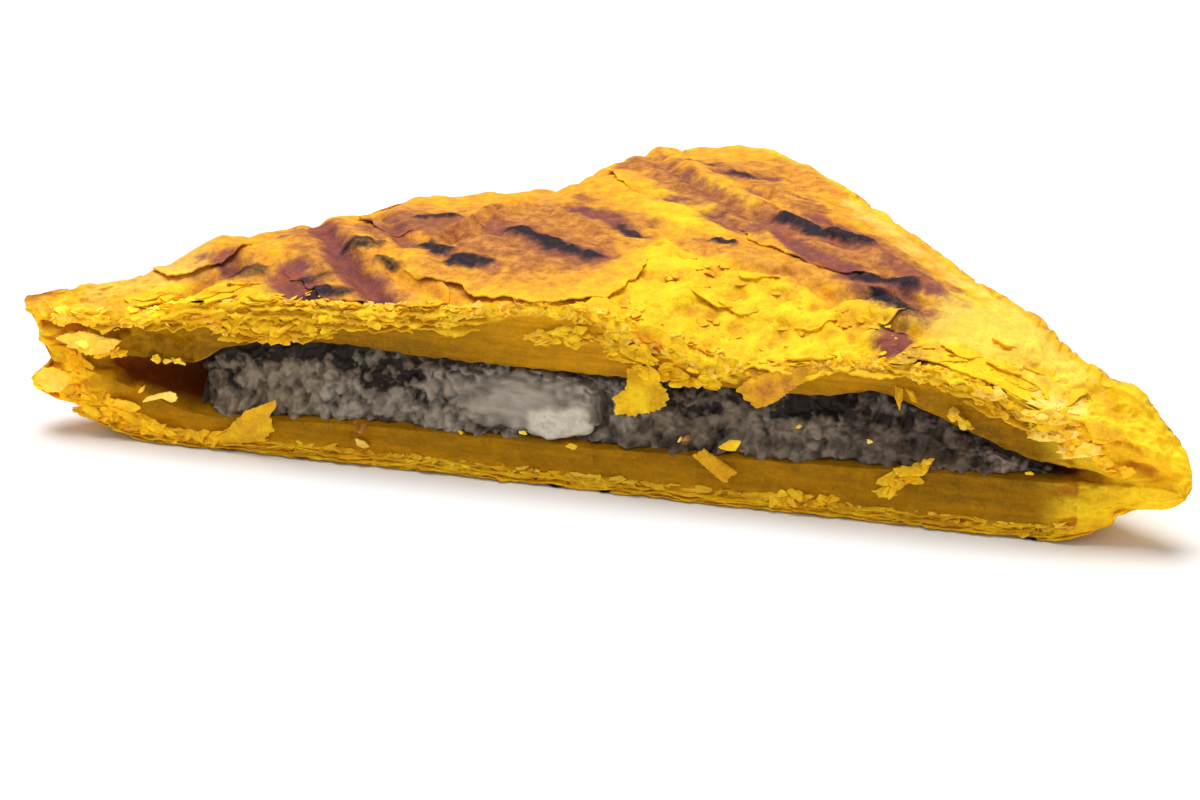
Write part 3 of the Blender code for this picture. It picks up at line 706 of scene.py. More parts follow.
def baked_marks(places):
    """Skin, toast, pale, scorch and char at each place (x, d) of the top, with wandering edges."""
    wide, narrow = wandering(places, 3.4, 31), wandering(places, 1.2, 33)
    edged = places + 1.0 * wide + 0.55 * narrow
    halo = tuple((0.6 * strength, 1.2 + 1.25 * half, line) for strength, half, line in SCORCH_STROKES)
    toast = stroke_mask(TOAST_STROKES, places + 3.0 * wide + 1.0 * narrow)
    return {
        "skin": stroke_mask(SKIN_STROKES, places + 4.0 * wide + 1.2 * narrow),
        "toast": np.maximum(toast, stroke_mask(halo, edged)),
        "pale": stroke_mask(SHEEN_AND_PALE_STROKES, places + 2.5 * wide + 1.0 * narrow),
        "scorch": stroke_mask(SCORCH_STROKES, edged),
        "char": stroke_mask(CHAR_STROKES, edged),
    }


def pressed_at(places):
    """Height of the press marks at each place of the top: sunk bands with raised burnt blisters."""
    marks = baked_marks(places)
    return 0.35 * marks["char"] * (1 + rough_over(places, 0.9, 60)) - 0.3 * marks["scorch"]


def torn_at(x, d):
    """1 where the top is torn open to its yellow layers, 0 where its skin is whole."""
    edge = along(TORN_EDGE, x) + 1.6 * rough(x, d, 4.0, 21) + 0.7 * rough(x, d, 1.6, 22)
    return smooth((edge - d) / 2.4 + 0.5)


def torn_relief(x, d):
    """Height of the torn layers: broken plates with soft steps, streaks and crumbs on them."""
    wx, wd = x + 0.8 * rough(x, d, 1.9, 41), d + 0.8 * rough(x, d, 1.9, 45)
    streak, across = 0.8 * wx + 0.6 * wd, 0.8 * wd - 0.6 * wx
    level = 2.6 * (0.6 * rough(streak / 2.0, across, 3.2, 51) + 0.4 * rough(streak / 1.6, across, 1.5, 53))
    whole = math.floor(level)
    plates = whole + smooth((level - whole - 0.4) / 0.6)
    crumbs = 1 - 2 * abs(rough(streak / 1.8, across, 0.9, 57))
    return 0.34 * plates + 0.24 * crumbs + 0.14 * rough(x, d, 0.6, 58)


def face_torn(x, z, zone):
    """How torn the cut face is: 1 by the lip, by the underside and at both ends of the cut."""
    ends = max(smooth((-62 - x) / 5), smooth((x - 56) / 5))
    if zone == LOWER_CUT:
        return max(ends, smooth((lift_at(x) + 2.0 - z) / 1.4))
    rim = top_at(x, 0.0) - along(LIP_HANG, x) + 0.9 * rough(x, z, 2.4, 74) + 0.6 * rough(x, z, 0.9, 76)
    return max(ends, smooth((z - rim) / 1.0))


def face_relief(x, z):
    """Height of the torn layers of the cut face, which lie nearly level."""
    return torn_relief(x / 1.4, z * 1.5 + 40)


def rim_layers(x, z):
    """Height of the thin layers that show round the folded sides, as broken ledges."""
    level = 1.3 * z + 1.2 * rough(x / 3.0, z / 2.0, 2.5, 71)
    ledge = smooth((level - math.floor(level)) / 0.7) - 0.5
    return 0.45 * ledge * smooth(0.6 + 1.4 * rough(x / 2.0, z, 2.6, 72))


def under_roof(x):
    """1 where the cut's upper layer has a rough brown underside, near the left tip."""
    return smooth((-49.5 - x) / 3) * smooth((x + 66) / 4)


def closed_end(x, z):
    """1 at the tips, where the pastry is sealed and the cut shows no crumb, and 0 between them."""
    return max(smooth((x - 66.5 + 0.6 * (z - 4)) / 3), smooth((-66 - x) / 3))


def end_light(x):
    """Painted light: how much lighter the torn pastry of the cut is painted near both tips."""
    return 0.24 * np.clip((-46 - x) / 8, 0, 1) + 0.21 * np.clip((x - 57) / 6, 0, 1)


# --- making meshes


def mesh_points(mesh):
    """A mesh's vertices as an array."""
    points = np.empty(len(mesh.vertices) * 3, np.float32)
    mesh.vertices.foreach_get("co", points)
    return points.reshape(-1, 3).astype(float)


def finished(bm, name):
    """A mesh from a bmesh, with its faces turned outwards."""
    bmesh.ops.recalc_face_normals(bm, faces=bm.faces)
    mesh = bpy.data.meshes.new(name)
    bm.to_mesh(mesh)
    bm.free()
    return mesh


def plate(columns, rows):
    """A bmesh plate from -1 to 1 in cells, with its back at z 0 and its front at z 1."""
    bm = bmesh.new()
    bmesh.ops.create_grid(bm, x_segments=columns, y_segments=rows, size=1.0)
    grown = bmesh.ops.extrude_face_region(bm, geom=bm.faces[:])
    for item in grown["geom"]:
        if isinstance(item, bmesh.types.BMVert):
            item.co.z = 1.0
    return bm


def leaf_mesh(name, divisions, count=1):
    """`count` flat discs of unit radius, one after the other, and the points of one of them."""
    bm = plate(divisions, divisions)
    for vert in bm.verts:
        u, v = vert.co.xy
        vert.co.xy = (u * math.sqrt(1 - v * v / 2), v * math.sqrt(1 - u * u / 2))
    disc = finished(bm, "disc")
    sheaf = bmesh.new()
    for _ in range(count):
        sheaf.from_mesh(disc)
    mesh = bpy.data.meshes.new(name)
    sheaf.to_mesh(mesh)
    sheaf.free()
    points = mesh_points(disc)
    bpy.data.meshes.remove(disc)
    return mesh, points


def strip_mesh(name, columns, rows):
    """A flat strip with x and y from 0 to 1, and its points."""
    bm = plate(columns, rows)
    for vert in bm.verts:
        vert.co.xy = ((vert.co.x + 1) / 2, (vert.co.y + 1) / 2)
    mesh = finished(bm, name)
    return mesh, mesh_points(mesh)


def drawn_in(outline, share):
    """An outline drawn in towards its own middle."""
    cd, cz = np.mean([point[:2] for point in outline], axis=0)
    return [(cd + (d - cd) * share, cz + (z - cz) * share, zone) for d, z, zone in outline]


def lofted(name, xs, section, relief):
    """A closed skin over the sections at xs, with relief. Returns its mesh, points and zones."""
    outlines = [section(x) for x in xs]
    # Rings that close both ends, a little rounded.
    first, last = outlines[0], outlines[-1]
    outlines = [drawn_in(first, share) for share in END_RINGS] + outlines
    outlines += [drawn_in(last, share) for share in reversed(END_RINGS)]
    domes = [END_BULGE * (1 - share * share) for share in END_RINGS]
    xs = [xs[0] - dome for dome in domes] + list(xs) + [xs[-1] + dome for dome in reversed(domes)]
    rows = len(outlines[0])
    bm = bmesh.new()
    bmesh.ops.create_grid(bm, x_segments=len(xs) - 1, y_segments=rows, size=1.0)
    zone_layer = bm.verts.layers.float.new("zone")
    for vert in bm.verts:
        i = round((vert.co.x + 1) / 2 * (len(xs) - 1))
        j = round((vert.co.y + 1) / 2 * rows) % rows
        d, z, zone = outlines[i][j]
        vert.co = (xs[i] + nose(xs[i], z), d, z)
        vert[zone_layer] = zone
    bmesh.ops.remove_doubles(bm, verts=bm.verts, dist=0.001)
    ends = bmesh.ops.holes_fill(bm, edges=bm.edges, sides=0)
    bmesh.ops.poke(bm, faces=ends["faces"], center_mode="BOUNDS")
    bmesh.ops.recalc_face_normals(bm, faces=bm.faces)
    bm.normal_update()
    zones = np.array([round(vert[zone_layer]) for vert in bm.verts])
    points = np.array([vert.co for vert in bm.verts])
    normals = np.array([vert.normal for vert in bm.verts])
    mesh = bpy.data.meshes.new(name)
    bm.to_mesh(mesh)
    bm.free()
    mesh.attributes.remove(mesh.attributes["zone"])
    return mesh, points + normals * relief(points, zones)[:, None], zones


def add_piece(mesh, points, looks, finish, sharp=50, replaced=()):
    """Makes a piece of a mesh: its points (x, d, z), its looks, its finish and its place in the frame."""
    mesh.vertices.foreach_set("co", placed(points).astype(np.float32).ravel())
    mesh.update()
    for look, amounts in looks.items():
        layer = mesh.attributes.new(look, "FLOAT", "POINT")
        layer.data.foreach_set("value", np.asarray(amounts, np.float32))
    mesh.shade_smooth()
    mesh.set_sharp_from_angle(angle=math.radians(sharp))
    colours = bpy.context.scene.patty_colours
    mesh.materials.append(bpy.data.materials.get(finish.__name__) or finish(colours))
    piece = bpy.data.objects.new(mesh.name, mesh)
    bpy.context.scene.collection.objects.link(piece)
    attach(piece, "root")
    if replaced:
        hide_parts(*replaced)


# --- materials


def add_node(tree, kind, inputs=None, **settings):
    """Adds a node. An input is a value, or the socket that feeds it."""
    made = tree.nodes.new("ShaderNode" + kind)
    for name, value in settings.items():
        setattr(made, name, value)
    for name, value in (inputs or {}).items():
        if isinstance(value, bpy.types.NodeSocket):
            tree.links.new(value, made.inputs[name])
        else:
            made.inputs[name].default_value = value
    return made


def tones_of(colours):
    """Every colour setting by its name, as a node takes it."""
    return {name: (*getattr(colours, name), 1.0) for name in colours.__annotations__}


def new_material(name):
    """An empty material with its Principled shader, which is returned with its node tree."""
    material = bpy.data.materials.new(name)
    material.use_nodes = True
    return material, material.node_tree, material.node_tree.nodes["Principled BSDF"]


def pastry_colour(tree, looks, grain, tones):
    """The pastry's colour: coats over the yellow dough where the looks ask for them, mottled all over."""
    for name, pattern, low, high in (
        ("dough", "patches", "dough_deep", "dough_bright"),
        ("skin", "mottle", "skin_dark", "skin_light"),
        ("toast", "mottle", "toast_dark", "toast_light"),
        ("crumb", "streaks", "crumb_dark", "crumb_light"),
        ("scorch", "patches", "scorch", "scorch_red"),
    ):
        span = {"Value": grain[pattern], "From Min": 0.36, "From Max": 0.64}
        share = add_node(tree, "MapRange", span).outputs["Result"]
        sockets = {0: share, 6: tones[low], 7: tones[high]}
        tones[name + "_mixed"] = add_node(tree, "Mix", sockets, data_type="RGBA").outputs[2]

    colour = tones["dough_mixed"]
    # The coats of recesses and of the hollow are painted shade, and the pale coat is partly a painted
    # sheen.
    for name, breakup, crisp, coat in (
        ("recess", 0.6, 1.2, tones["recess"]),
        ("skin", 0.7, 1.2, tones["skin_mixed"]),
        ("toast", 0.9, 1.2, tones["toast_mixed"]),
        ("pale", 0.5, 1.0, tones["pale"]),
        ("crumb", 0.15, 1.0, tones["crumb_mixed"]),
        ("hollow", 0.1, 1.0, tones["hollow"]),
        ("scorch", 1.2, 1.2, tones["scorch_mixed"]),
        ("char", 1.3, 1.1, tones["char"]),
    ):
        # The noise eats into the coat's edge but never starts it where the stored amount is 0.
        lowered = {0: looks[name], 1: crisp, 2: 0.5 - crisp * (0.5 + 0.5 * breakup)}
        lowered = add_node(tree, "Math", lowered, operation="MULTIPLY_ADD").outputs[0]
        broken = {0: grain["ragged"], 1: breakup * crisp, 2: lowered}
        broken = add_node(tree, "Math", broken, operation="MULTIPLY_ADD").outputs[0]
        inside = {0: looks[name], 1: 5.0}
        inside = add_node(tree, "Math", inside, operation="MULTIPLY", use_clamp=True).outputs[0]
        share = {0: broken, 1: inside}
        share = add_node(tree, "Math", share, operation="MULTIPLY", use_clamp=True).outputs[0]
        colour = add_node(tree, "Mix", {0: share, 6: colour, 7: coat}, data_type="RGBA").outputs[2]

    # Light and dark mottling round the stored tone with its painted light and shade, which averages 1.
    light = add_node(tree, "Math", {0: looks["tone_and_painted_light"], 1: 0.42}, operation="ADD").outputs[0]
    for pattern, strength in (("mottle", 0.62), ("fine", 0.54)):
        sockets = {0: grain[pattern], 1: strength, 2: light}
        light = add_node(tree, "Math", sockets, operation="MULTIPLY_ADD").outputs[0]
    return add_node(tree, "HueSaturation", {"Value": light, "Color": colour}).outputs["Color"]


def baked_pastry(colours):
    """Turmeric shortcrust in thin buttered layers, baked and then pressed hot between ridged plates.

    It shows bright yellow torn layers, a browned orange skin, purple-brown press marks with black
    burnt spots, and a moist mustard crumb at the cut, under a faint film of fat.
    """
    material, tree, shader = new_material("baked_pastry")
    place = add_node(tree, "TexCoord").outputs["Object"]
    looks = {
        name: add_node(tree, "Attribute", attribute_name=name).outputs["Fac"]
        for name in ("skin", "toast", "pale", "recess", "crumb", "hollow", "scorch", "char", "tone_and_painted_light")
    }
    # Noises by the width of their bumps in millimetres. The streaks lie along the cut.
    grain = {}
    for name, width, detail, stretch in (
        ("patches", 5.0, 4, (1, 1, 1)),
        ("mottle", 1.6, 4, (1, 1, 1)),
        ("ragged", 1.3, 6, (1, 1, 1)),
        ("fine", 0.45, 3, (1, 1, 1)),
        ("streaks", 1.2, 3, (0.12, 1, 1)),
    ):
        pulled = add_node(tree, "Mapping", {"Vector": place, "Scale": stretch}).outputs["Vector"]
        inputs = {"Vector": pulled, "Scale": 1 / (width * MM), "Detail": detail, "Roughness": 0.68}
        grain[name] = add_node(tree, "TexNoise", inputs).outputs["Fac"]

    toned = pastry_colour(tree, looks, grain, tones_of(colours))
    tree.links.new(toned, shader.inputs["Base Color"])
    dryness = add_node(tree, "MapRange", {"Value": grain["mottle"], "To Min": 0.38, "To Max": 0.66})
    tree.links.new(dryness.outputs["Result"], shader.inputs["Roughness"])
    shader.inputs["Specular IOR Level"].default_value = 0.07
    relief = {}
    for pattern, depth in (("mottle", 0.36), ("fine", 0.26), ("streaks", 0.08)):
        relief.update({"Height": grain[pattern], "Strength": 0.5, "Distance": depth * MM})
        relief["Normal"] = add_node(tree, "Bump", relief).outputs[0]
    tree.links.new(relief["Normal"], shader.inputs["Normal"])
    return material


def cooked_mince(colours):
    """Boiled minced beef, ground fine: matt grey-brown grains, a little fat, painted shade in the gaps."""
    material, tree, shader = new_material("cooked_mince")
    place = add_node(tree, "TexCoord").outputs["Object"]
    fibre, patches = (
        add_node(tree, "TexNoise", {"Vector": place, "Scale": 1 / (width * MM), "Detail": 4}).outputs["Fac"]
        for width in (0.8, 7.0)
    )
    tones = tones_of(colours)
    span = {"Value": patches, "From Min": 0.35, "From Max": 0.65}
    warm = add_node(tree, "MapRange", span).outputs["Result"]
    sockets = {0: warm, 6: tones["mince_mid"], 7: tones["mince_warm"]}
    colour = add_node(tree, "Mix", sockets, data_type="RGBA").outputs[2]
    for name, coat in (
        ("grain", tones["mince_light"]),
        ("whitened", tones["mince_fatty"]),
        # Painted shade in the gaps and under the crust.
        ("pit_shade", tones["mince_dark"]),
    ):
        amount = add_node(tree, "Attribute", attribute_name=name).outputs["Fac"]
        doubled = add_node(tree, "Math", {0: fibre, 1: 2.0}, operation="MULTIPLY").outputs[0]
        share = add_node(tree, "Math", {0: doubled, 1: amount}, operation="MULTIPLY", use_clamp=True)
        sockets = {0: share.outputs[0], 6: colour, 7: coat}
        colour = add_node(tree, "Mix", sockets, data_type="RGBA").outputs[2]
    tree.links.new(colour, shader.inputs["Base Color"])
    shader.inputs["Roughness"].default_value = 0.55
    shader.inputs["Specular IOR Level"].default_value = 0.2
    relief = {"Height": fibre, "Strength": 0.6, "Distance": 0.25 * MM}
    tree.links.new(add_node(tree, "Bump", relief).outputs[0], shader.inputs["Normal"])
    return material


def soft_cheese(colours):
    """Mild white cheese, melted in the patty and set again: soft, milky and smeared with mince."""
    material, tree, shader = new_material("soft_cheese")
    place = add_node(tree, "TexCoord").outputs["Object"]
    clouds = add_node(tree, "TexNoise", {"Vector": place, "Scale": 1 / (1.5 * MM), "Detail": 4})
    tones = tones_of(colours)
    colour = tones["cheese_shade"]
    for name, breakup, coat in (
        ("thick", 0.8, tones["cheese"]),
        ("smear", 1.4, tones["mince_light"]),
        # Painted shade between the grains.
        ("pit_shade", 1.2, tones["mince_dark"]),
    ):
        amount = add_node(tree, "Attribute", attribute_name=name).outputs["Fac"]
        lowered = add_node(tree, "Math", {0: amount, 1: -0.5 * breakup}, operation="ADD").outputs[0]
        share = {0: clouds.outputs["Fac"], 1: breakup, 2: lowered}
        share = add_node(tree, "Math", share, operation="MULTIPLY_ADD", use_clamp=True).outputs[0]
        colour = add_node(tree, "Mix", {0: share, 6: colour, 7: coat}, data_type="RGBA").outputs[2]
    tree.links.new(colour, shader.inputs["Base Color"])
    shader.inputs["Roughness"].default_value = 0.4
    shader.inputs["Subsurface Weight"].default_value = 0.3
    shader.inputs["Subsurface Radius"].default_value = (1.0, 0.85, 0.6)
    shader.inputs["Subsurface Scale"].default_value = 1.2 * MM
    return material


def matt_floor(colours):
    """A painted board: matt and nearly white, with very faint clouds."""
    material, tree, shader = new_material("matt_floor")
    place = add_node(tree, "TexCoord").outputs["Object"]
    clouds = add_node(tree, "TexNoise", {"Vector": place, "Scale": 3.0}).outputs["Fac"]
    light = add_node(tree, "MapRange", {"Value": clouds, "To Min": 0.98}).outputs["Result"]
    sockets = {"Value": light, "Color": tones_of(colours)["floor"]}
    toned = add_node(tree, "HueSaturation", sockets).outputs["Color"]
    tree.links.new(toned, shader.inputs["Base Color"])
    shader.inputs["Roughness"].default_value = 0.9
    return material


# --- the shell


def relief_at(x, d, z, zone):
    """Height of the bumps and torn layers at a point of the shell."""
    keep = smooth((z - lift_at(x)) / (0.6 + 1.4 * smooth((abs(x) - 64) / 4)))
    lumps = bumps(x, z, TIP_LUMPS)
    ends = closed_end(x, z) * keep * (1.0 if x < 0 else 0.45)
    if zone == BASE:
        return 0.0
    if zone == TOP:
        wrinkles = bumps(x, d, SKIN_WRINKLES) + 0.09 * (1 - 2 * abs(rough(x, d, 0.9, 63)))
        return wrinkles + torn_at(x, d) * torn_relief(x, d) + 0.5 * ends * lumps
    if zone == RIM:
        return bumps(x, z, RIM_BUMPS) + (keep * rim_layers(x, z) + 0.5 * ends * lumps)
    if zone == HOLLOW:
        return 0.3 * rough(x, z + d, 1.6, 68) + 0.8 * lumps * smooth((-56 - x) / 5)
    layered = 0.12 * rough(x / 5.0, z, 1.2, 66) + 0.10 * rough(x, z, 1.4, 67) + ends * lumps
    if zone == UPPER_CUT:
        layered += under_roof(x) * bumps(x, z, ROOF_BUMPS)
    return keep * (layered + face_torn(x, z, zone) * face_relief(x, z))


def shell_relief(points, zones):
    """How far the skin stands out along its normal at each point, in millimetres."""
    high = np.clip((points[:, 2] - 12) / 6, 0, 1)
    creased = folds_at(FOLDS, points[:, :2]) * np.where(zones == RIM, high, zones == TOP)
    creased += folds_at(FACE_FOLDS, points[:, ::2]) * (zones >= UPPER_CUT) * (points[:, 1] < 6)
    creased += pressed_at(points[:, :2]) * (zones == TOP)
    return np.array([relief_at(*point, zone) for point, zone in zip(points, zones)]) + creased


def looks_at(x, d, z, zone):
    """Crumb, hollow shade, tone with painted light, shade in recesses and torn pastry at a shell point."""
    crumb = hollow = recess = torn = 0.0
    tone_and_painted_light = 0.05 * rough(x, d + z, 4.5, 73)
    open_face = 1 - closed_end(x, z)
    if zone == TOP:
        torn = torn_at(x, d)
        # Painted shade in the low parts of the torn layers, and painted light on them near both tips.
        recess = torn * smooth(0.3 - torn_relief(x, d) / 0.7) * (0.75 - 0.45 * smooth((abs(x) - 50) / 12))
        tone_and_painted_light += torn * end_light(x) * smooth(1.2 - d / 3)
    elif zone == RIM:
        # Painted shade between the broken ledges.
        recess = smooth(-4.5 * rim_layers(x, z))
    elif zone == HOLLOW:
        # Painted shade deep inside the hollow, darker all over it.
        hollow = smooth((d - 1.6) / 1.5) * open_face
        crumb = (1 - hollow) * open_face
        tone_and_painted_light += along(SLAB_TONE_AND_SHADE, x) - 0.1
    elif zone != BASE:
        torn = face_torn(x, z, zone)
        # Painted shade in the low parts of the torn face, and painted light on it near both tips.
        recess = smooth(0.5 - face_relief(x, z) / 0.6) * torn * (1 - 0.8 * (x > 62))
        crumb = (1 - torn) * open_face
        tone_and_painted_light += end_light(x) * max(torn, closed_end(x, z))
    if zone == UPPER_CUT:
        deep = (along(LIP, x) - z) / max(along(LIP, x) - along(CEILING, x), 1.5)
        # Painted light on the torn fringe near the left tip, then the band's tone with painted shade,
        # darker towards the filling.
        tone_and_painted_light += 0.1 * torn * smooth((-42 - x) / 10)
        tone_and_painted_light += along(BAND_TONE_AND_SHADE, x) - 0.22 * smooth(deep * 1.3 - 0.3)
        tone_and_painted_light += 0.25 * under_roof(x) * rough(x, z, 1.4, 75)
    elif zone == LOWER_CUT:
        above = (z - lift_at(x)) / max(along(FLOOR, x) - lift_at(x), 2.0)
        # The slab's tone with painted shade, darker towards its top.
        tone_and_painted_light += along(SLAB_TONE_AND_SHADE, x) + 0.16 - 0.3 * smooth(above)
    return crumb, hollow, tone_and_painted_light, recess, torn


def shell_looks(points, zones):
    """The baked look of the shell's vertices, with painted light and shade."""
    looks = baked_marks(points[:, :2])
    creases = folds_at(FOLDS, points[:, :2]) * (zones == TOP)
    creases += folds_at(FACE_FOLDS, points[:, ::2]) * (zones >= UPPER_CUT)
    found = np.array([looks_at(*point, zone) for point, zone in zip(points, zones)]).T
    looks["crumb"], looks["hollow"], tone_and_painted_light, recess, torn = found
    # Painted highlight on the folds and painted shade in the creases.
    looks["tone_and_painted_light"] = tone_and_painted_light + 0.06 * np.clip(creases, 0, 1) - 0.10 * np.clip(-creases, 0, 1)
    looks["recess"] = np.clip(recess + np.clip(-0.9 * creases, 0, 0.8), 0, 1)
    on_top, xs = zones == TOP, points[:, 0]
    mottled = rough_over(points[:, :2], 4.0, 82)
    tip_skin = np.clip((-54 - xs) / 6, 0, 1) * np.clip(0.75 + 0.6 * mottled, 0.3, 1.0)
    top_skin = np.maximum(looks["skin"] * (1 - 0.85 * torn), tip_skin)
    right_end = np.clip((xs - 54) / 8, 0, 1)
    left_side = np.clip((4 - xs) / 12, 0, 1)
    patches = rough_over(points[:, ::2], 5.0, 80)
    rim_skin = np.clip(0.45 + 0.4 * left_side + 0.6 * patches, 0, 1) * (1 - 0.8 * right_end)
    rim_toast = left_side * np.clip(1.4 * patches, 0, 0.5) * (zones == RIM)
    looks["skin"] = np.select([on_top, zones == RIM, zones == BASE], [top_skin, rim_skin, 0.7], 0.0)
    looks["toast"] = np.where(on_top, looks["toast"] * (1 - torn), rim_toast)
    for name in ("pale", "scorch", "char"):
        looks[name] = np.where(on_top, looks[name], 0.0)
    return looks


def rest_on_floor(points, zones):
    """Keeps the underside flat and every point on or above it."""
    lifts = np.array([lift_at(x) for x in points[:, 0]])
    points[:, 2] = np.maximum(points[:, 2], np.where(zones == BASE, lifts, lifts + 0.01))
    return points


# --- sheets, flakes and layers


def sheet_points(disc, seed, middle, lift, radii, faces):
    """A peeled sheet on the top, sunk at its back and free at its front edge, with ragged outlines."""
    turn = tuple((30 * i, radius) for i, radius in enumerate(radii + radii[:1]))
    free_way = math.radians(faces)
    places, rises, sides = [], [], []
    for u, v, side in disc:
        share, theta = math.hypot(u, v), math.atan2(v, u)
        cu, cv = math.cos(theta) * 4, math.sin(theta) * 4
        ragged = 1 + 0.08 * rough(cu, cv, 1.0, seed) + 0.04 * rough(cu, cv, 0.35, seed + 3)
        ragged += 0.02 * rough(cu, cv, 0.14, seed + 8)
        reach = along(turn, math.degrees(theta) % 360) * share * ragged
        for _ in range(60):
            x, d = middle[0] + reach * math.cos(theta), middle[1] + reach * math.sin(theta)
            if -0.2 <= d <= depth_at(x) - 0.5 * RIM_RADIUS:
                break
            reach *= 0.96
        free = smooth(0.45 + 0.75 * math.cos(theta - free_way))
        rise = share**3 * (0.75 * lift * free - 0.8 * (1 - free))
        wave = bumps(x, d, SHEET_WAVES, seed)
        curl = 0.3 * share**8 * free * rough(x, d, 2.4, seed + 7)
        places.append((x, d))
        rises.append(0.25 + rise + wave * (0.4 + 0.6 * share) + curl)
        sides.append((side - 1) * (0.40 - 0.22 * share**6))
    places = np.array(places)
    tops = np.array([top_at(x, max(d, 0.0)) for x, d in places])
    heights = tops + folds_at(FOLDS, places) + pressed_at(places) + rises + sides
    return np.column_stack([places, heights])


def broken_outline(theta, rng, corners):
    """Radius at each angle of a piece that broke off along a few nearly straight lines."""
    turn = rng.uniform(0, 2 * math.pi)
    reach = np.full(len(theta), 1.35)
    for i in range(corners):
        facing = turn + 2 * math.pi * (i + rng.uniform(-0.35, 0.35)) / corners
        reach = np.minimum(reach, rng.uniform(0.65, 1.05) / np.maximum(np.cos(theta - facing), 0.3))
    for waves, size in ((5, 0.06), (9, 0.04)):
        reach = reach + rng.uniform(-size, size) * np.sin(waves * theta + rng.uniform(0, 6.28))
    return reach


def outline_reach(corners, middle, theta):
    """Distance from the middle to the outline through the corners, in each direction."""
    ways = np.column_stack([np.cos(theta), np.sin(theta)])
    reach = np.zeros(len(theta))
    for start, end in zip(corners, corners[1:] + corners[:1]):
        ax, az = np.subtract(start, middle)
        ex, ez = np.subtract(end, start)
        cross = ways[:, 0] * ez - ways[:, 1] * ex
        cross = np.where(abs(cross) < 1e-9, 1e-9, cross)
        far = (ax * ez - az * ex) / cross
        share = (ax * ways[:, 1] - az * ways[:, 0]) / cross
        hit = (far > 0) & (share > -1e-6) & (share < 1 + 1e-6)
        reach = np.maximum(reach, np.where(hit, far, 0.0))
    return reach


def flake_points(disc, seed, root, proud, corners):
    """A flake on the cut, rooted at one side, standing out and curling at the other."""
    way = math.radians(root)
    middle = np.mean(corners, axis=0)
    size = np.ptp(corners, axis=0)
    outline = outline_reach(corners, middle, np.arctan2(disc[:, 1], disc[:, 0]))
    low = lift_at(middle[0]) + 0.05
    points = []
    for (u, v, side), reach in zip(disc, outline):
        share, theta = math.hypot(u, v), math.atan2(v, u)
        cu, cv = math.cos(theta) * 4, math.sin(theta) * 4
        torn = 1 + 0.11 * rough(cu, cv, 0.7, seed + 25) + 0.09 * rough(cu, cv, 0.27, seed + 27)
        x = middle[0] + share * reach * torn * math.cos(theta)
        z = middle[1] + share * reach * torn * math.sin(theta)
        rooted = (x - middle[0]) * math.cos(way) + (z - middle[1]) * math.sin(way)
        free = smooth(0.5 - rooted / max(size))
        crown = 0.4 * (1 - share * share)
        front = -proud * (0.25 + 0.75 * free) + bumps(x, z, FLAKE_LUMPS, seed) * (0.3 + 0.5 * free) - crown
        thick = (0.9 - 0.7 * share**3) * min(1.0, 0.3 * min(size))
        points.append((x - SIGHT[0] * front, front + (1 - side) * thick, max(z - SIGHT[1] * front, low)))
    return np.array(points)


def chip_points(disc, seat, rng):
    """A small flake from the flat disc: a broken outline, bent and twisted, on its seat."""
    place, normal, spin, length, width, thickness = seat
    u, v, side = disc.T
    outline = broken_outline(np.arctan2(v, u), rng, 4)
    a, b = u * outline * length / 2, v * outline * width / 2
    share = np.hypot(u, v)
    bend = rng.uniform(-0.12, 0.16) * length * (a / length * 2) ** 2
    bend = bend + rng.uniform(-0.1, 0.2) * width * (b / width * 2) ** 2
    height = bend + (side - 0.5) * thickness * (1 - 0.6 * share**3)
    n = Vector(normal).normalized()
    tangent = (Vector((1, 0, 0)) - n * n.x).normalized()
    long_way = tangent * math.cos(spin) + n.cross(tangent) * math.sin(spin)
    axes = np.array([long_way, n.cross(long_way), n])
    return np.array(place) + np.column_stack([a, b, height]) @ axes


def torn_layer_points(disc, seat, rng):
    """A thin torn layer that follows the top, with a broken outline and one edge a little raised."""
    (px, pd), spin, length, width, lift = seat
    u, v, side = disc.T
    outline = broken_outline(np.arctan2(v, u), rng, 7)
    a, b = u * outline * length / 2, v * outline * width / 2
    xs = px + a * math.cos(spin) - b * math.sin(spin)
    ds = np.maximum(pd + a * math.sin(spin) + b * math.cos(spin), -0.4)
    ds = np.minimum(ds, [rim_start(x) + 1.5 for x in xs])
    front = -v * math.cos(spin) - u * math.sin(spin)
    seed = rng.uniform(0, 50)
    points = []
    for x, d, share, facing, top in zip(xs, ds, np.hypot(u, v), front, side):
        rise = lift * (0.5 + 0.5 * facing) * share**2 - 0.35 * share**2 * (facing < -0.2)
        wave = bumps(x, d, LAYER_WAVES, seed)
        z = top_at(x, max(d, 0.0)) + 0.2 + rise + wave - 0.35 * max(-d, 0.0)
        points.append((x, d, z + (top - 1) * (0.26 - 0.12 * share**4)))
    return np.array(points)


def long_layer_points(strip, row, height_at, seed):
    """A torn layer along the cut, rooted in the pastry at y 1 and ragged at its free edge, y 0."""
    first, last, offset, proud, droop = row
    points = []
    for share, inner, top in strip:
        x = first + (last - first) * share
        taper = smooth((x - first) / 5) * smooth((last - x) / 5)
        ragged = 0.75 + 0.7 * rough(x, 3, 4.3, seed) + 0.55 * rough(x, 5, 1.5, seed)
        ragged += 0.35 * rough(x, 7, 0.7, seed)
        out = proud * (taper * ragged - 0.8 * (1 - taper))
        d = 1.4 * inner - out * (1 - inner)
        wave = 0.35 * rough(x, 9, 5.0, seed) + 0.22 * rough(x, 11, 1.7, seed) * (1 - inner)
        z = height_at(x) + offset + wave - droop * (1 - inner) ** 2 * max(ragged, 0.2)
        points.append((x, d, z + (top - 1) * (0.34 - 0.14 * (1 - inner))))
    return np.array(points)


# --- seats of the small flakes
# A seat of a chip is its place, normal, turn, length, width and thickness.


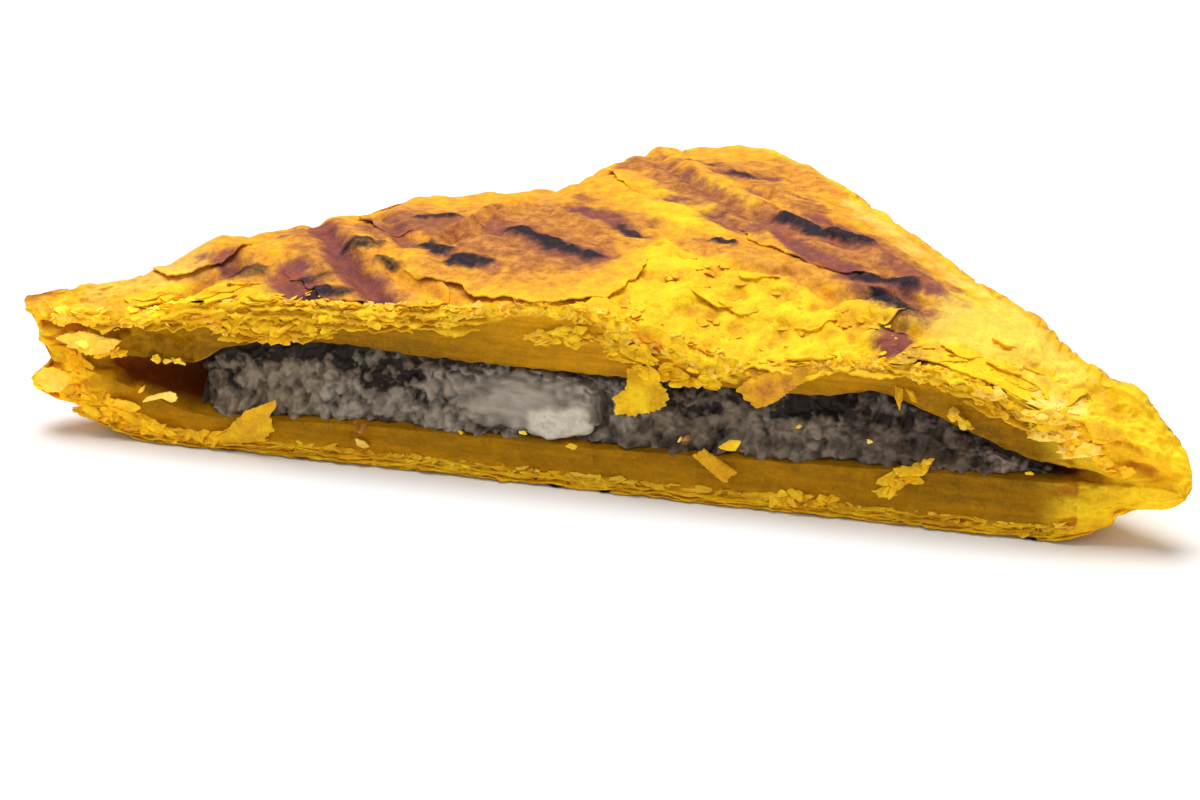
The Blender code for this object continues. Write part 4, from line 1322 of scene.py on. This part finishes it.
def clump_seats(rng, thick):
    """Seats of the flakes of all clumps, and how pale each flake is."""
    seats, paleness = [], []
    for middle, width, height, turn, count, proud, pale in CUT_CLUMPS:
        tilt = math.radians(turn)
        for _ in range(count):
            a = rng.uniform(-0.5, 0.5) * width
            crown = 1 - (2 * a / width) ** 2
            b = rng.uniform(-0.5, 0.5) * height * math.sqrt(crown)
            x = middle[0] + a * math.cos(tilt) - b * math.sin(tilt)
            z = max(middle[1] + a * math.sin(tilt) + b * math.cos(tilt), lift_at(x) + 0.4)
            d = 0.4 - (0.4 + proud * crown) * rng.uniform(0.2, 1.0)
            lean = Vector((rng.gauss(0, 0.4), -1.0, 0.8 + rng.gauss(0, 0.5)))
            length = rng.uniform(0.7, 2.5) * min(1.0, 0.4 + 0.4 * height)
            size = (length, length * rng.uniform(0.3, 0.65), thick * rng.uniform(1.0, 2.0))
            seats.append(((x, d, z), lean, rng.gauss(tilt, 0.4), *size))
            paleness.append(pale)
    return seats, np.array(paleness)


def crumb_seats(crumbs):
    """Seats of the crumbs that lie on the filling and on the crumb below it."""
    seats = []
    for (x, z), length, turn in crumbs:
        d = 0.0 if z < along(FLOOR, x) else -0.5
        seats.append(((x, d, z), (0.1, -1.0, 0.5), math.radians(turn), length, 0.55 * length, 0.6))
    return seats


def layer_seats(count, rng):
    """Place, turn, length, width and lift of each thin layer on the torn part of the top."""
    seats = []
    while len(seats) < count:
        x, d = rng.uniform(*LAYER_SPAN), rng.uniform(0.0, TORN_DEPTH)
        flaky = max(smooth((-34 - x) / 4), smooth((x - 38) / 4), 0.2)
        if d > rim_start(x) - 1 or rng.random() > torn_at(x, d) * flaky:
            continue
        length = rng.uniform(3.0, 8.5)
        size = (rng.gauss(0.15, 0.4), length, length * rng.uniform(0.3, 0.7))
        seats.append(((x, d), *size, rng.uniform(0.1, 0.6)))
    return seats


def torn_seats(count, rng, thick):
    """Seats of the crumbs and flakes on the torn top, most of them near the cut."""
    seats = []
    while len(seats) < count:
        x, d = rng.uniform(*TORN_SPAN), TORN_DEPTH * rng.random() ** 1.4
        if d > rim_start(x) or rng.random() > torn_at(x, d) * (0.3 + 0.7 * smooth(1.3 - d / 6)):
            continue
        lean = Vector((rng.gauss(0, 0.16), rng.gauss(0.0, 0.16), 0.6))
        length = rng.uniform(0.5, 1.7)
        width = length * rng.uniform(0.35, 0.8)
        height = top_at(x, d) + folds_at(FOLDS, np.array([[x, d]]))[0]
        place = (x, d, height + rng.uniform(-0.1, 0.15))
        size = (rng.gauss(0.2, 0.6), length, width, thick * rng.uniform(0.5, 1.1))
        seats.append((place, top_normal(x, d) + lean, *size))
    return seats


def spread(span, count, rng):
    """Random places along the cut, one in each of `count` equal parts of the span."""
    first, last = span
    for i in range(count):
        yield first + (last - first) * (i + rng.random()) / count


def lip_seats(count, rng, thick):
    """Seats of the crumbs and flakes that hang from the upper edge of the cut."""
    seats = []
    for x in spread(LIP_SPAN, count, rng):
        down = rng.random() ** 1.2
        hang = along(LIP_HANG, x) * (0.8 + 0.7 * rough(x, 0, 2.6, 99))
        over = smooth(down * 1.4)
        lean = (rng.gauss(0, 0.5), -0.3 - 1.2 * over + rng.gauss(0, 0.4), 1.0 - 0.6 * over)
        length = rng.uniform(0.6, 2.3) * (1 - 0.3 * down)
        size = (length, length * rng.uniform(0.3, 0.7), thick * rng.uniform(0.8, 1.8))
        place = (x, 0.7 - 0.9 * over, top_at(x, 0) + 0.1 - hang * down)
        seats.append((place, lean, rng.gauss(0.1, 0.4), *size))
    return seats


def base_seats(count, rng, thick):
    """Seats of the crumbs and flakes along the lower edge of the cut."""
    seats = []
    for x in spread(BASE_SPAN, count, rng):
        z = lift_at(x) + 0.25 + 1.5 * rng.random() ** 1.8
        lean = (rng.gauss(0, 0.4), -0.9 + rng.gauss(0, 0.4), 0.7)
        length = rng.uniform(0.5, 2.0)
        size = (length, length * rng.uniform(0.25, 0.5), thick * rng.uniform(0.8, 1.6))
        seats.append(((x, 0.0, z), lean, rng.gauss(0, 0.2), *size))
    return seats


def chips(name, seats, seed, tints, **looks):
    """Many small flakes as one piece. `looks` are the most of each amount, for all or for each flake."""
    mesh, disc = leaf_mesh(name, CHIP_CELLS, len(seats))
    rng = random.Random(seed)
    points = np.concatenate([chip_points(disc, seat, rng) for seat in seats])
    points[:, 2] = np.maximum(points[:, 2], 0.01)
    values = {}
    # Painted shade on every chip, at random strength.
    for look, most in {"recess": 0.5, **looks}.items():
        shares = np.array([rng.random() ** 2 for _ in seats])
        values[look] = np.repeat(most * shares, len(disc))
    xs, zs = np.array([(seat[0][0], seat[0][2]) for seat in seats]).T
    # Painted light on the chips near both tips and on the high fringe at the left.
    lighter = end_light(xs) + 0.1 * np.clip((-42 - xs) / 10, 0, 1) * (zs > 12)
    values["tone_and_painted_light"] = np.repeat([rng.uniform(*tints) for _ in seats] + lighter, len(disc))
    add_piece(mesh, points, values, baked_pastry)


# --- the filling


def filling_section(x):
    """The outline of the filling at x, as (d, z, 1 at the cut face and 0 inside)."""
    middle, half, back = hollow_at(x)
    low, high = middle - half - 0.3, middle + half + 0.3
    ends = smooth((x - FILLING[0] + 0.5) / 1.5) * smooth((FILLING[1] - x) / 8.0)
    flat = smooth((x - FILLING[0] + 0.4) / 0.8) * smooth((FILLING[1] - x) / 8.0)
    middle, half = (low + high) / 2, (high - low) / 2 * (0.55 + 0.45 * flat)
    reach = max(back - 0.5, 3.8)
    loop = []
    for i in range(FILLING_ROWS["inside"] + 1):
        turn = math.pi * i / FILLING_ROWS["inside"]
        up = math.cos(turn)
        height = middle + half * math.copysign(abs(up) ** 0.62, up)
        loop.append((2.4 + (reach - 2.4) * math.sin(turn) ** 0.7, height, 0))
    for i in range(1, FILLING_ROWS["face"]):
        t = i / FILLING_ROWS["face"]
        lump = bumps(x, t * 9, MINCE_LUMPS)
        forward = 1.3 * smooth((0.45 - t) / 0.4) * ends
        ragged = x + 0.9 * rough(t * 9, 3, 2.2, 12) + 0.5 * rough(t * 9, 3, 0.9, 13)
        sunk = 2.4 * (1 - smooth((ragged - FILLING[0]) / 3.0)) if x < 0 else 0.0
        loop.append((2.2 - forward + lump * ends + sunk, middle - half * (1 - 2 * t), 1))
    return loop


def grains_at(x, z, size):
    """Rounded grains of mince, about `size` wide: 1 on top of a grain and 0 between grains."""
    wx, wz = x + 0.7 * rough(x, z, 1.3, 81), z + 0.7 * rough(x, z, 1.3, 83)
    near = noise.voronoi(Vector((wx / size, wz / size, 3.0)))[0]
    return 1 - min(near[0] ** 2 * 2.0, 1.0)


def mixed_grains(x, z, size):
    """The large and the small grains of the mince at a place."""
    return grains_at(x, z, size * 1.4), grains_at(x + 30, z, size * 0.7)


def mince_relief(points, faces, grain):
    """How far the mince stands out along its normal at each point, with a place for the cheese."""
    cx, _, cz = CHEESE_MIDDLE
    thick = stroke_mask(CHEESE_THICK, points[:, ::2])
    found = []
    for (x, _, z), face, cheesy in zip(points, faces, thick):
        big, small = mixed_grains(x, z, grain)
        reach = abs((x - cx) / CHEESE_SIZE[0]) ** 3 + abs((z - cz) / CHEESE_SIZE[2]) ** 3
        inside = smooth((1.1 - reach) / 0.5)
        lap = inside * (0.9 * rough(x, z, 2.4, 88) - 0.1) - 1.6 * smooth(1.6 * cheesy - 0.2)
        found.append(face * (0.5 * big + 0.4 * small - 0.6 + bumps(x, z, MINCE_HOLES) + lap))
    return np.array(found)


def mince_looks(points, grain):
    """Light grains, grains coated with cheese, and painted shade in gaps and under the crust, per vertex.
    """
    places = points[:, ::2]
    shift = 2.0 * wandering(places, 2.6, 91) + 0.8 * wandering(places, 0.9, 93)
    found = []
    for x, z in places:
        big, small = mixed_grains(x, z, grain)
        # Painted shade under the crust's ceiling.
        ceiling_shade = smooth((z - along(CEILING, x) + 3.2) / 3.2)
        found.append((1 - 0.6 * big - 0.4 * small, 0.5 * rough(x, z, 2.0, 87), ceiling_shade))
    gaps, holes, ceiling_shade = np.array(found).T
    deep = stroke_mask(MINCE_GAP_SHADE, places + 0.5 * shift)
    return {
        "grain": 0.12 + 0.88 * stroke_mask(MINCE_LIGHT, places + shift),
        "whitened": stroke_mask(MINCE_FATTY, places + shift) * (1.1 - gaps),
        "pit_shade": np.clip(1.3 * gaps - 0.45 - holes, 0, 1) + (0.65 * ceiling_shade + 0.9 * deep) * (0.5 + gaps),
    }


# --- the settings


def number_setting(label, text, usual):
    """A whole-number setting."""
    return IntProperty(name=label, description=text, default=usual, min=1)


def length_setting(label, text, usual, least):
    """A length setting whose default and least value are in millimetres."""
    return FloatProperty(name=label, description=text, default=usual * MM, min=least * MM, unit="LENGTH")


def tone(label, text, code):
    """A colour setting whose default is an sRGB hex value."""
    return FloatVectorProperty(
        name=label, description=text, subtype="COLOR", size=3, min=0, max=1, default=linear(code)
    )


class PattySizes(bpy.types.PropertyGroup):
    """Sizes and numbers of the fine detail."""

    torn_layers: number_setting("Torn layers", "Thin layers on the torn part of the top", 34)
    torn_chips: number_setting("Torn chips", "Crumbs and flakes on the torn top", 380)
    lip_chips: number_setting("Lip chips", "Crumbs and flakes along the upper edge", 1350)
    base_chips: number_setting("Base chips", "Crumbs and flakes along the lower edge", 650)
    grain: length_setting("Mince grain", "Width of a grain of the minced filling", 1.15, 0.5)
    layer: length_setting("Layer thickness", "Thickness of one torn layer of pastry", 0.24, 0.05)


class PattyColours(bpy.types.PropertyGroup):
    """Colours of the pastry, the mince, the cheese and the floor."""

    dough_bright: tone("Bright dough", "Torn layers in full light", "#FBD222")
    dough_deep: tone("Deep dough", "Thicker yellow layers", "#EEB41A")
    # Painted shade: the orange of the gaps between layers and of the creases.
    recess: tone("Recess", "Buttery orange in the gaps between layers", "#C98016")
    skin_light: tone("Light skin", "Baked skin where it is thin", "#F0AC22")
    skin_dark: tone("Dark skin", "Baked skin where it is browned", "#DC902A")
    toast_light: tone("Light toast", "Skin toasted by the hot plates", "#C07E40")
    toast_dark: tone("Dark toast", "Skin toasted darker", "#965628")
    # Pale dough, and the painted sheen on the right edge of the top.
    pale: tone("Pale edge", "Oily edge where the dough is least baked", "#F7DA72")
    crumb_light: tone("Light crumb", "Moist crumb of the cut", "#C88A06")
    # Painted shade deep inside the hollow.
    crumb_dark: tone("Dark crumb", "Dense crumb by the filling", "#A87606")
    hollow: tone("Hollow", "Steamed wall inside the empty end", "#884412")
    scorch: tone("Press mark", "Purple-brown scorch of the press", "#6E3C42")
    scorch_red: tone("Red press mark", "Redder rim of the scorch", "#96523A")
    char: tone("Burnt spot", "Blackened blisters", "#2A2026")
    mince_light: tone("Light mince", "Drier grains", "#A89680")
    mince_mid: tone("Middle mince", "Most grains", "#675C50")
    mince_warm: tone("Warm mince", "Browner grains", "#5A4836")
    # Painted shade in the gaps between grains and under the crust.
    mince_dark: tone("Dark mince", "Gaps between grains", "#241C16")
    mince_fatty: tone("Fatty mince", "Grains coated with cheese", "#A49A8C")
    cheese: tone("Cheese", "Thick melted cheese", "#DCD2BE")
    cheese_shade: tone("Shaded cheese", "Thin melted cheese", "#8A8076")
    floor: tone("Floor", "Plain pale floor", "#F6F6F6")


# --- the operators


class PATTY_OT_shell(bpy.types.Operator):
    """Builds the folded pastry shell with its torn top, its cut and its hollow"""

    bl_idname = "patty.shell"
    bl_label = "Pastry shell"

    def execute(self, context):
        xs = stations(-HALF_LENGTH, HALF_LENGTH, STATIONS, 0.25)
        mesh, points, zones = lofted("pastry_shell", xs, crust_section, shell_relief)
        points = rest_on_floor(points, zones)
        add_piece(mesh, points, shell_looks(points, zones), baked_pastry, sharp=45, replaced=["crust"])
        return {"FINISHED"}


class PATTY_OT_sheets(bpy.types.Operator):
    """Builds the peeled sheets of the top, one piece each"""

    bl_idname = "patty.sheets"
    bl_label = "Peeled sheets"

    def execute(self, context):
        for seed, (name, middle, lift, radii, faces, brown) in enumerate(TOP_SHEETS):
            mesh, disc = leaf_mesh(name, SHEET_CELLS["wide" if max(radii) > WIDE_SHEET else "small"])
            points = sheet_points(disc, seed, middle, lift, radii, faces)
            shares = np.hypot(disc[:, 0], disc[:, 1])
            creases = folds_at(FOLDS, points[:, :2])
            looks = baked_marks(points[:, :2])
            looks["skin"] = np.maximum(looks["skin"], brown) * (1 - 0.5 * shares**10)
            # Painted shade in the creases.
            looks["recess"] = np.clip(-1.1 * creases, 0, 0.9)
            looks["tone_and_painted_light"] = 0.03 + 0.08 * shares**10 - 0.14 * np.clip(-creases, 0, 1)
            add_piece(mesh, points, looks, baked_pastry)
        return {"FINISHED"}


class PATTY_OT_flakes(bpy.types.Operator):
    """Builds the flakes that hang on the cut, one piece each"""

    bl_idname = "patty.flakes"
    bl_label = "Cut flakes"

    def execute(self, context):
        for seed, (name, root, proud, brown, corners) in enumerate(CUT_FLAKES):
            mesh, disc = leaf_mesh(name, FLAKE_CELLS)
            points = flake_points(disc, seed, root, proud, corners)
            patches = rough_over(points[:, ::2], 2.0, seed + 40)
            looks = {
                "skin": np.clip(brown * (1 + 0.8 * patches), 0, 1),
                "toast": np.clip(0.6 * brown + 0.5 * patches - 0.2, 0, 0.7) * (brown > 0),
                "pale": np.clip(-2.4 * brown * (1 + 0.6 * patches), 0, 1),
                # Painted shade in patches, and painted light near both tips.
                "recess": np.clip(0.2 - 0.6 * patches, 0, 0.5) * (1.0 if brown > -0.1 else 0.2),
                "tone_and_painted_light": 0.05 + 0.06 * patches + end_light(points[:, 0]) + 0.08 * (brown < 0),
            }
            add_piece(mesh, points, looks, baked_pastry, sharp=45)
        return {"FINISHED"}


class PATTY_OT_clumps(bpy.types.Operator):
    """Builds the clumps of torn flakes on the cut, and the crumbs that lie on its filling"""

    bl_idname = "patty.clumps"
    bl_label = "Clumps of flakes"

    def execute(self, context):
        seats, pale = clump_seats(random.Random(11), context.scene.patty_sizes.layer / MM)
        baked = 0.25 - 0.35 * pale
        # The less pale clumps get painted shade between their flakes.
        chips("torn_clumps", seats, 12, (0.0, 0.16), recess=2 * baked, skin=baked, pale=pale)
        chips("pale_crumbs", crumb_seats(PALE_CRUMBS), 3, (0.1, 0.15), pale=2)
        chips("red_specks", crumb_seats(RED_SPECKS), 3, (0.1, 0.15), skin=2, toast=3)
        return {"FINISHED"}


class PATTY_OT_layers(bpy.types.Operator):
    """Builds the long torn layers along the upper and lower edges of the cut"""

    bl_idname = "patty.layers"
    bl_label = "Torn layers of the cut"

    def execute(self, context):
        groups = (
            ("lip_layer", LIP_LAYERS, lambda x: top_at(x, 0.0), -1, 0.0),
            ("base_layer", BASE_LAYERS, lift_at, 1, -0.04),
        )
        for label, rows, height_at, way, tone_and_painted_light in groups:
            for i, (first, last, offset, proud, droop) in enumerate(rows):
                columns = round((last - first) * STRIP_CELLS[0])
                mesh, strip = strip_mesh(f"{label}_{i}", columns, STRIP_CELLS[1])
                settled = (first, last, way * offset, proud, droop)
                points = long_layer_points(strip, settled, height_at, 10 * way + i)
                points[:, 2] = np.maximum(points[:, 2], 0.02)
                patches = rough_over(points[:, ::2], 3.0, i + 90)
                looks = {
                    "skin": np.clip(0.1 + 0.5 * patches, 0, 0.5),
                    # Painted shade in patches.
                    "recess": np.clip(0.2 - 0.9 * patches, 0, 0.6),
                    "tone_and_painted_light": tone_and_painted_light + 0.10 * patches,
                }
                add_piece(mesh, points, looks, baked_pastry)
        return {"FINISHED"}


class PATTY_OT_chips(bpy.types.Operator):
    """Scatters the crumbs and small flakes of the torn top, the lip and the base"""

    bl_idname = "patty.chips"
    bl_label = "Small flakes"

    def execute(self, context):
        sizes = context.scene.patty_sizes
        thick = sizes.layer / MM
        rng = random.Random(5)
        layers = layer_seats(sizes.torn_layers, rng)
        mesh, disc = leaf_mesh("torn_layers", LAYER_CELLS, len(layers))
        points = np.concatenate([torn_layer_points(disc, seat, rng) for seat in layers])
        points[:, 2] += folds_at(FOLDS, points[:, :2])
        marks = baked_marks(points[:, :2])
        looks = {look: marks[look] * 0.4 for look in ("skin", "toast", "scorch")}
        looks["tone_and_painted_light"] = np.repeat([rng.uniform(-0.06, 0.08) for _ in layers], len(disc))
        add_piece(mesh, points, looks, baked_pastry)
        chips("torn_chips", torn_seats(sizes.torn_chips, rng, thick), 6, (-0.06, 0.10), skin=0.5)
        lip = lip_seats(sizes.lip_chips, rng, thick)
        # Raised tints: painted light on the fringe that faces down.
        chips("lip_chips", lip, 7, (-0.02, 0.20), skin=0.2, pale=0.5)
        chips("base_chips", base_seats(sizes.base_chips, rng, thick), 8, (-0.10, 0.08), pale=0.3)
        return {"FINISHED"}


class PATTY_OT_mince(bpy.types.Operator):
    """Builds the minced filling with its grainy cut face"""

    bl_idname = "patty.mince"
    bl_label = "Minced filling"

    def execute(self, context):
        grain = context.scene.patty_sizes.grain / MM
        xs = stations(*FILLING, MINCE_STATIONS, 0.05)
        relief = partial(mince_relief, grain=grain)
        mesh, points, _ = lofted("minced_filling", xs, filling_section, relief)
        looks = mince_looks(points, grain)
        add_piece(mesh, points, looks, cooked_mince, sharp=60, replaced=["filling"])
        return {"FINISHED"}


class PATTY_OT_cheese(bpy.types.Operator):
    """Builds the lump of melted cheese in the filling"""

    bl_idname = "patty.cheese"
    bl_label = "Melted cheese"

    def execute(self, context):
        cx, cz = CHEESE_MIDDLE[::2]
        bm = bmesh.new()
        bmesh.ops.create_uvsphere(bm, u_segments=CHEESE_CELLS[0], v_segments=CHEESE_CELLS[1], radius=1.0)
        for vert in bm.verts:
            squared = [math.copysign(abs(c) ** 0.62, c) for c in vert.co]
            wave = 1 + 0.08 * noise.noise(vert.co * 1.6) + 0.04 * noise.noise(vert.co * 5.0)
            vert.co = [m + c * size * wave for m, c, size in zip(CHEESE_MIDDLE, squared, CHEESE_SIZE)]
        mesh = finished(bm, "melted_cheese")
        points = mesh_points(mesh)
        places = points[:, ::2]
        shift = 1.0 * wandering(places, 2.2, 97) + 0.5 * wandering(places, 0.9, 99)
        thick = stroke_mask(CHEESE_THICK, places + shift)
        grains = np.array([grains_at(x, z, CHEESE_GRAIN) for x, z in places])
        for point, block, grain in zip(points, thick, grains):
            x, d, z = point
            lumps = bumps(x, z, CHEESE_LUMPS) - (0.8 * grain - 0.4) * (1 - block)
            point[1] = max(d, 0.8 + 1.0 * (1 - smooth(1.6 * block)) + 0.25 * d) + lumps
        edge = np.clip(np.hypot(*((places - (cx, cz)) / (10.0, 4.6)).T) - 0.35, 0, 1)
        looks = {
            "thick": thick,
            "smear": np.clip(0.8 - 0.9 * thick, 0, 1),
            # Painted shade between the grains, most towards the edge.
            "pit_shade": np.clip(1.5 * (1 - grains) * (edge + 0.15), 0, 0.8) * (1 - thick),
        }
        add_piece(mesh, points, looks, soft_cheese, sharp=80, replaced=["cheese"])
        return {"FINISHED"}


class PATTY_OT_stage(bpy.types.Operator):
    """Makes the pale floor, the soft lights and the camera at the photograph's angle"""

    bl_idname = "patty.stage"
    bl_label = "Stage"

    def execute(self, context):
        scene = context.scene
        bm = bmesh.new()
        bmesh.ops.create_circle(bm, cap_ends=True, segments=96, radius=FLOOR_RADIUS)
        bmesh.ops.translate(bm, verts=bm.verts, vec=(0, 0, -FLOOR_DROP))
        floor = bpy.data.objects.new("floor", finished(bm, "floor"))
        floor.data.materials.append(matt_floor(scene.patty_colours))
        scene.collection.objects.link(floor)

        for name, place, size, power in LAMPS:
            light = bpy.data.lights.new(name, "AREA")
            light.size = size
            light.energy = power
            lamp = bpy.data.objects.new(name, light)
            scene.collection.objects.link(lamp)
            lamp.location = place
            lamp.rotation_euler = (-Vector(place)).to_track_quat("-Z", "Y").to_euler()

        world = bpy.data.worlds.new("soft_room")
        world.use_nodes = True
        room = world.node_tree.nodes["Background"].inputs
        room["Color"].default_value = (1, 1, 1, 1)
        room["Strength"].default_value = ROOM_LIGHT
        scene.world = world

        camera = bpy.data.objects.new("camera", bpy.data.cameras.new("camera"))
        scene.collection.objects.link(camera)
        camera.location = CAMERA_PLACE
        aim = Vector(CAMERA_AIM)
        camera.rotation_euler = (aim - camera.location).to_track_quat("-Z", "Y").to_euler()
        camera.data.sensor_width = SENSOR_WIDTH
        camera.data.lens = LENS
        camera.data.clip_start = 0.01
        scene.camera = camera
        scene.view_settings.view_transform = "Standard"
        return {"FINISHED"}


class PATTY_PT_panel(bpy.types.Panel):
    """Lists the steps that build the patty"""

    bl_idname = "PATTY_PT_panel"
    bl_label = "Cut flaky patty"
    bl_space_type = "VIEW_3D"
    bl_region_type = "UI"
    bl_category = "Patty"

    def draw(self, context):
        for step in STEPS:
            self.layout.operator(step.bl_idname)
        for group in (context.scene.patty_sizes, context.scene.patty_colours):
            for name in group.__annotations__:
                self.layout.prop(group, name)


STEPS = (
    PATTY_OT_shell,
    PATTY_OT_sheets,
    PATTY_OT_flakes,
    PATTY_OT_clumps,
    PATTY_OT_layers,
    PATTY_OT_chips,
    PATTY_OT_mince,
    PATTY_OT_cheese,
    PATTY_OT_stage,
)
CLASSES = (PattySizes, PattyColours, *STEPS, PATTY_PT_panel)


def register():
    """Registers the settings, the operators and the panel."""
    for cls in CLASSES:
        bpy.utils.register_class(cls)
    bpy.types.Scene.patty_sizes = PointerProperty(type=PattySizes)
    bpy.types.Scene.patty_colours = PointerProperty(type=PattyColours)


def unregister():
    """Takes everything that was registered away again."""
    del bpy.types.Scene.patty_colours
    del bpy.types.Scene.patty_sizes
    for cls in reversed(CLASSES):
        bpy.utils.unregister_class(cls)


def main():
    """Builds every piece and the stage."""
    register()
    for step in STEPS:
        group, name = step.bl_idname.split(".")
        getattr(getattr(bpy.ops, group), name)()


if __name__ == "__main__":
    main()
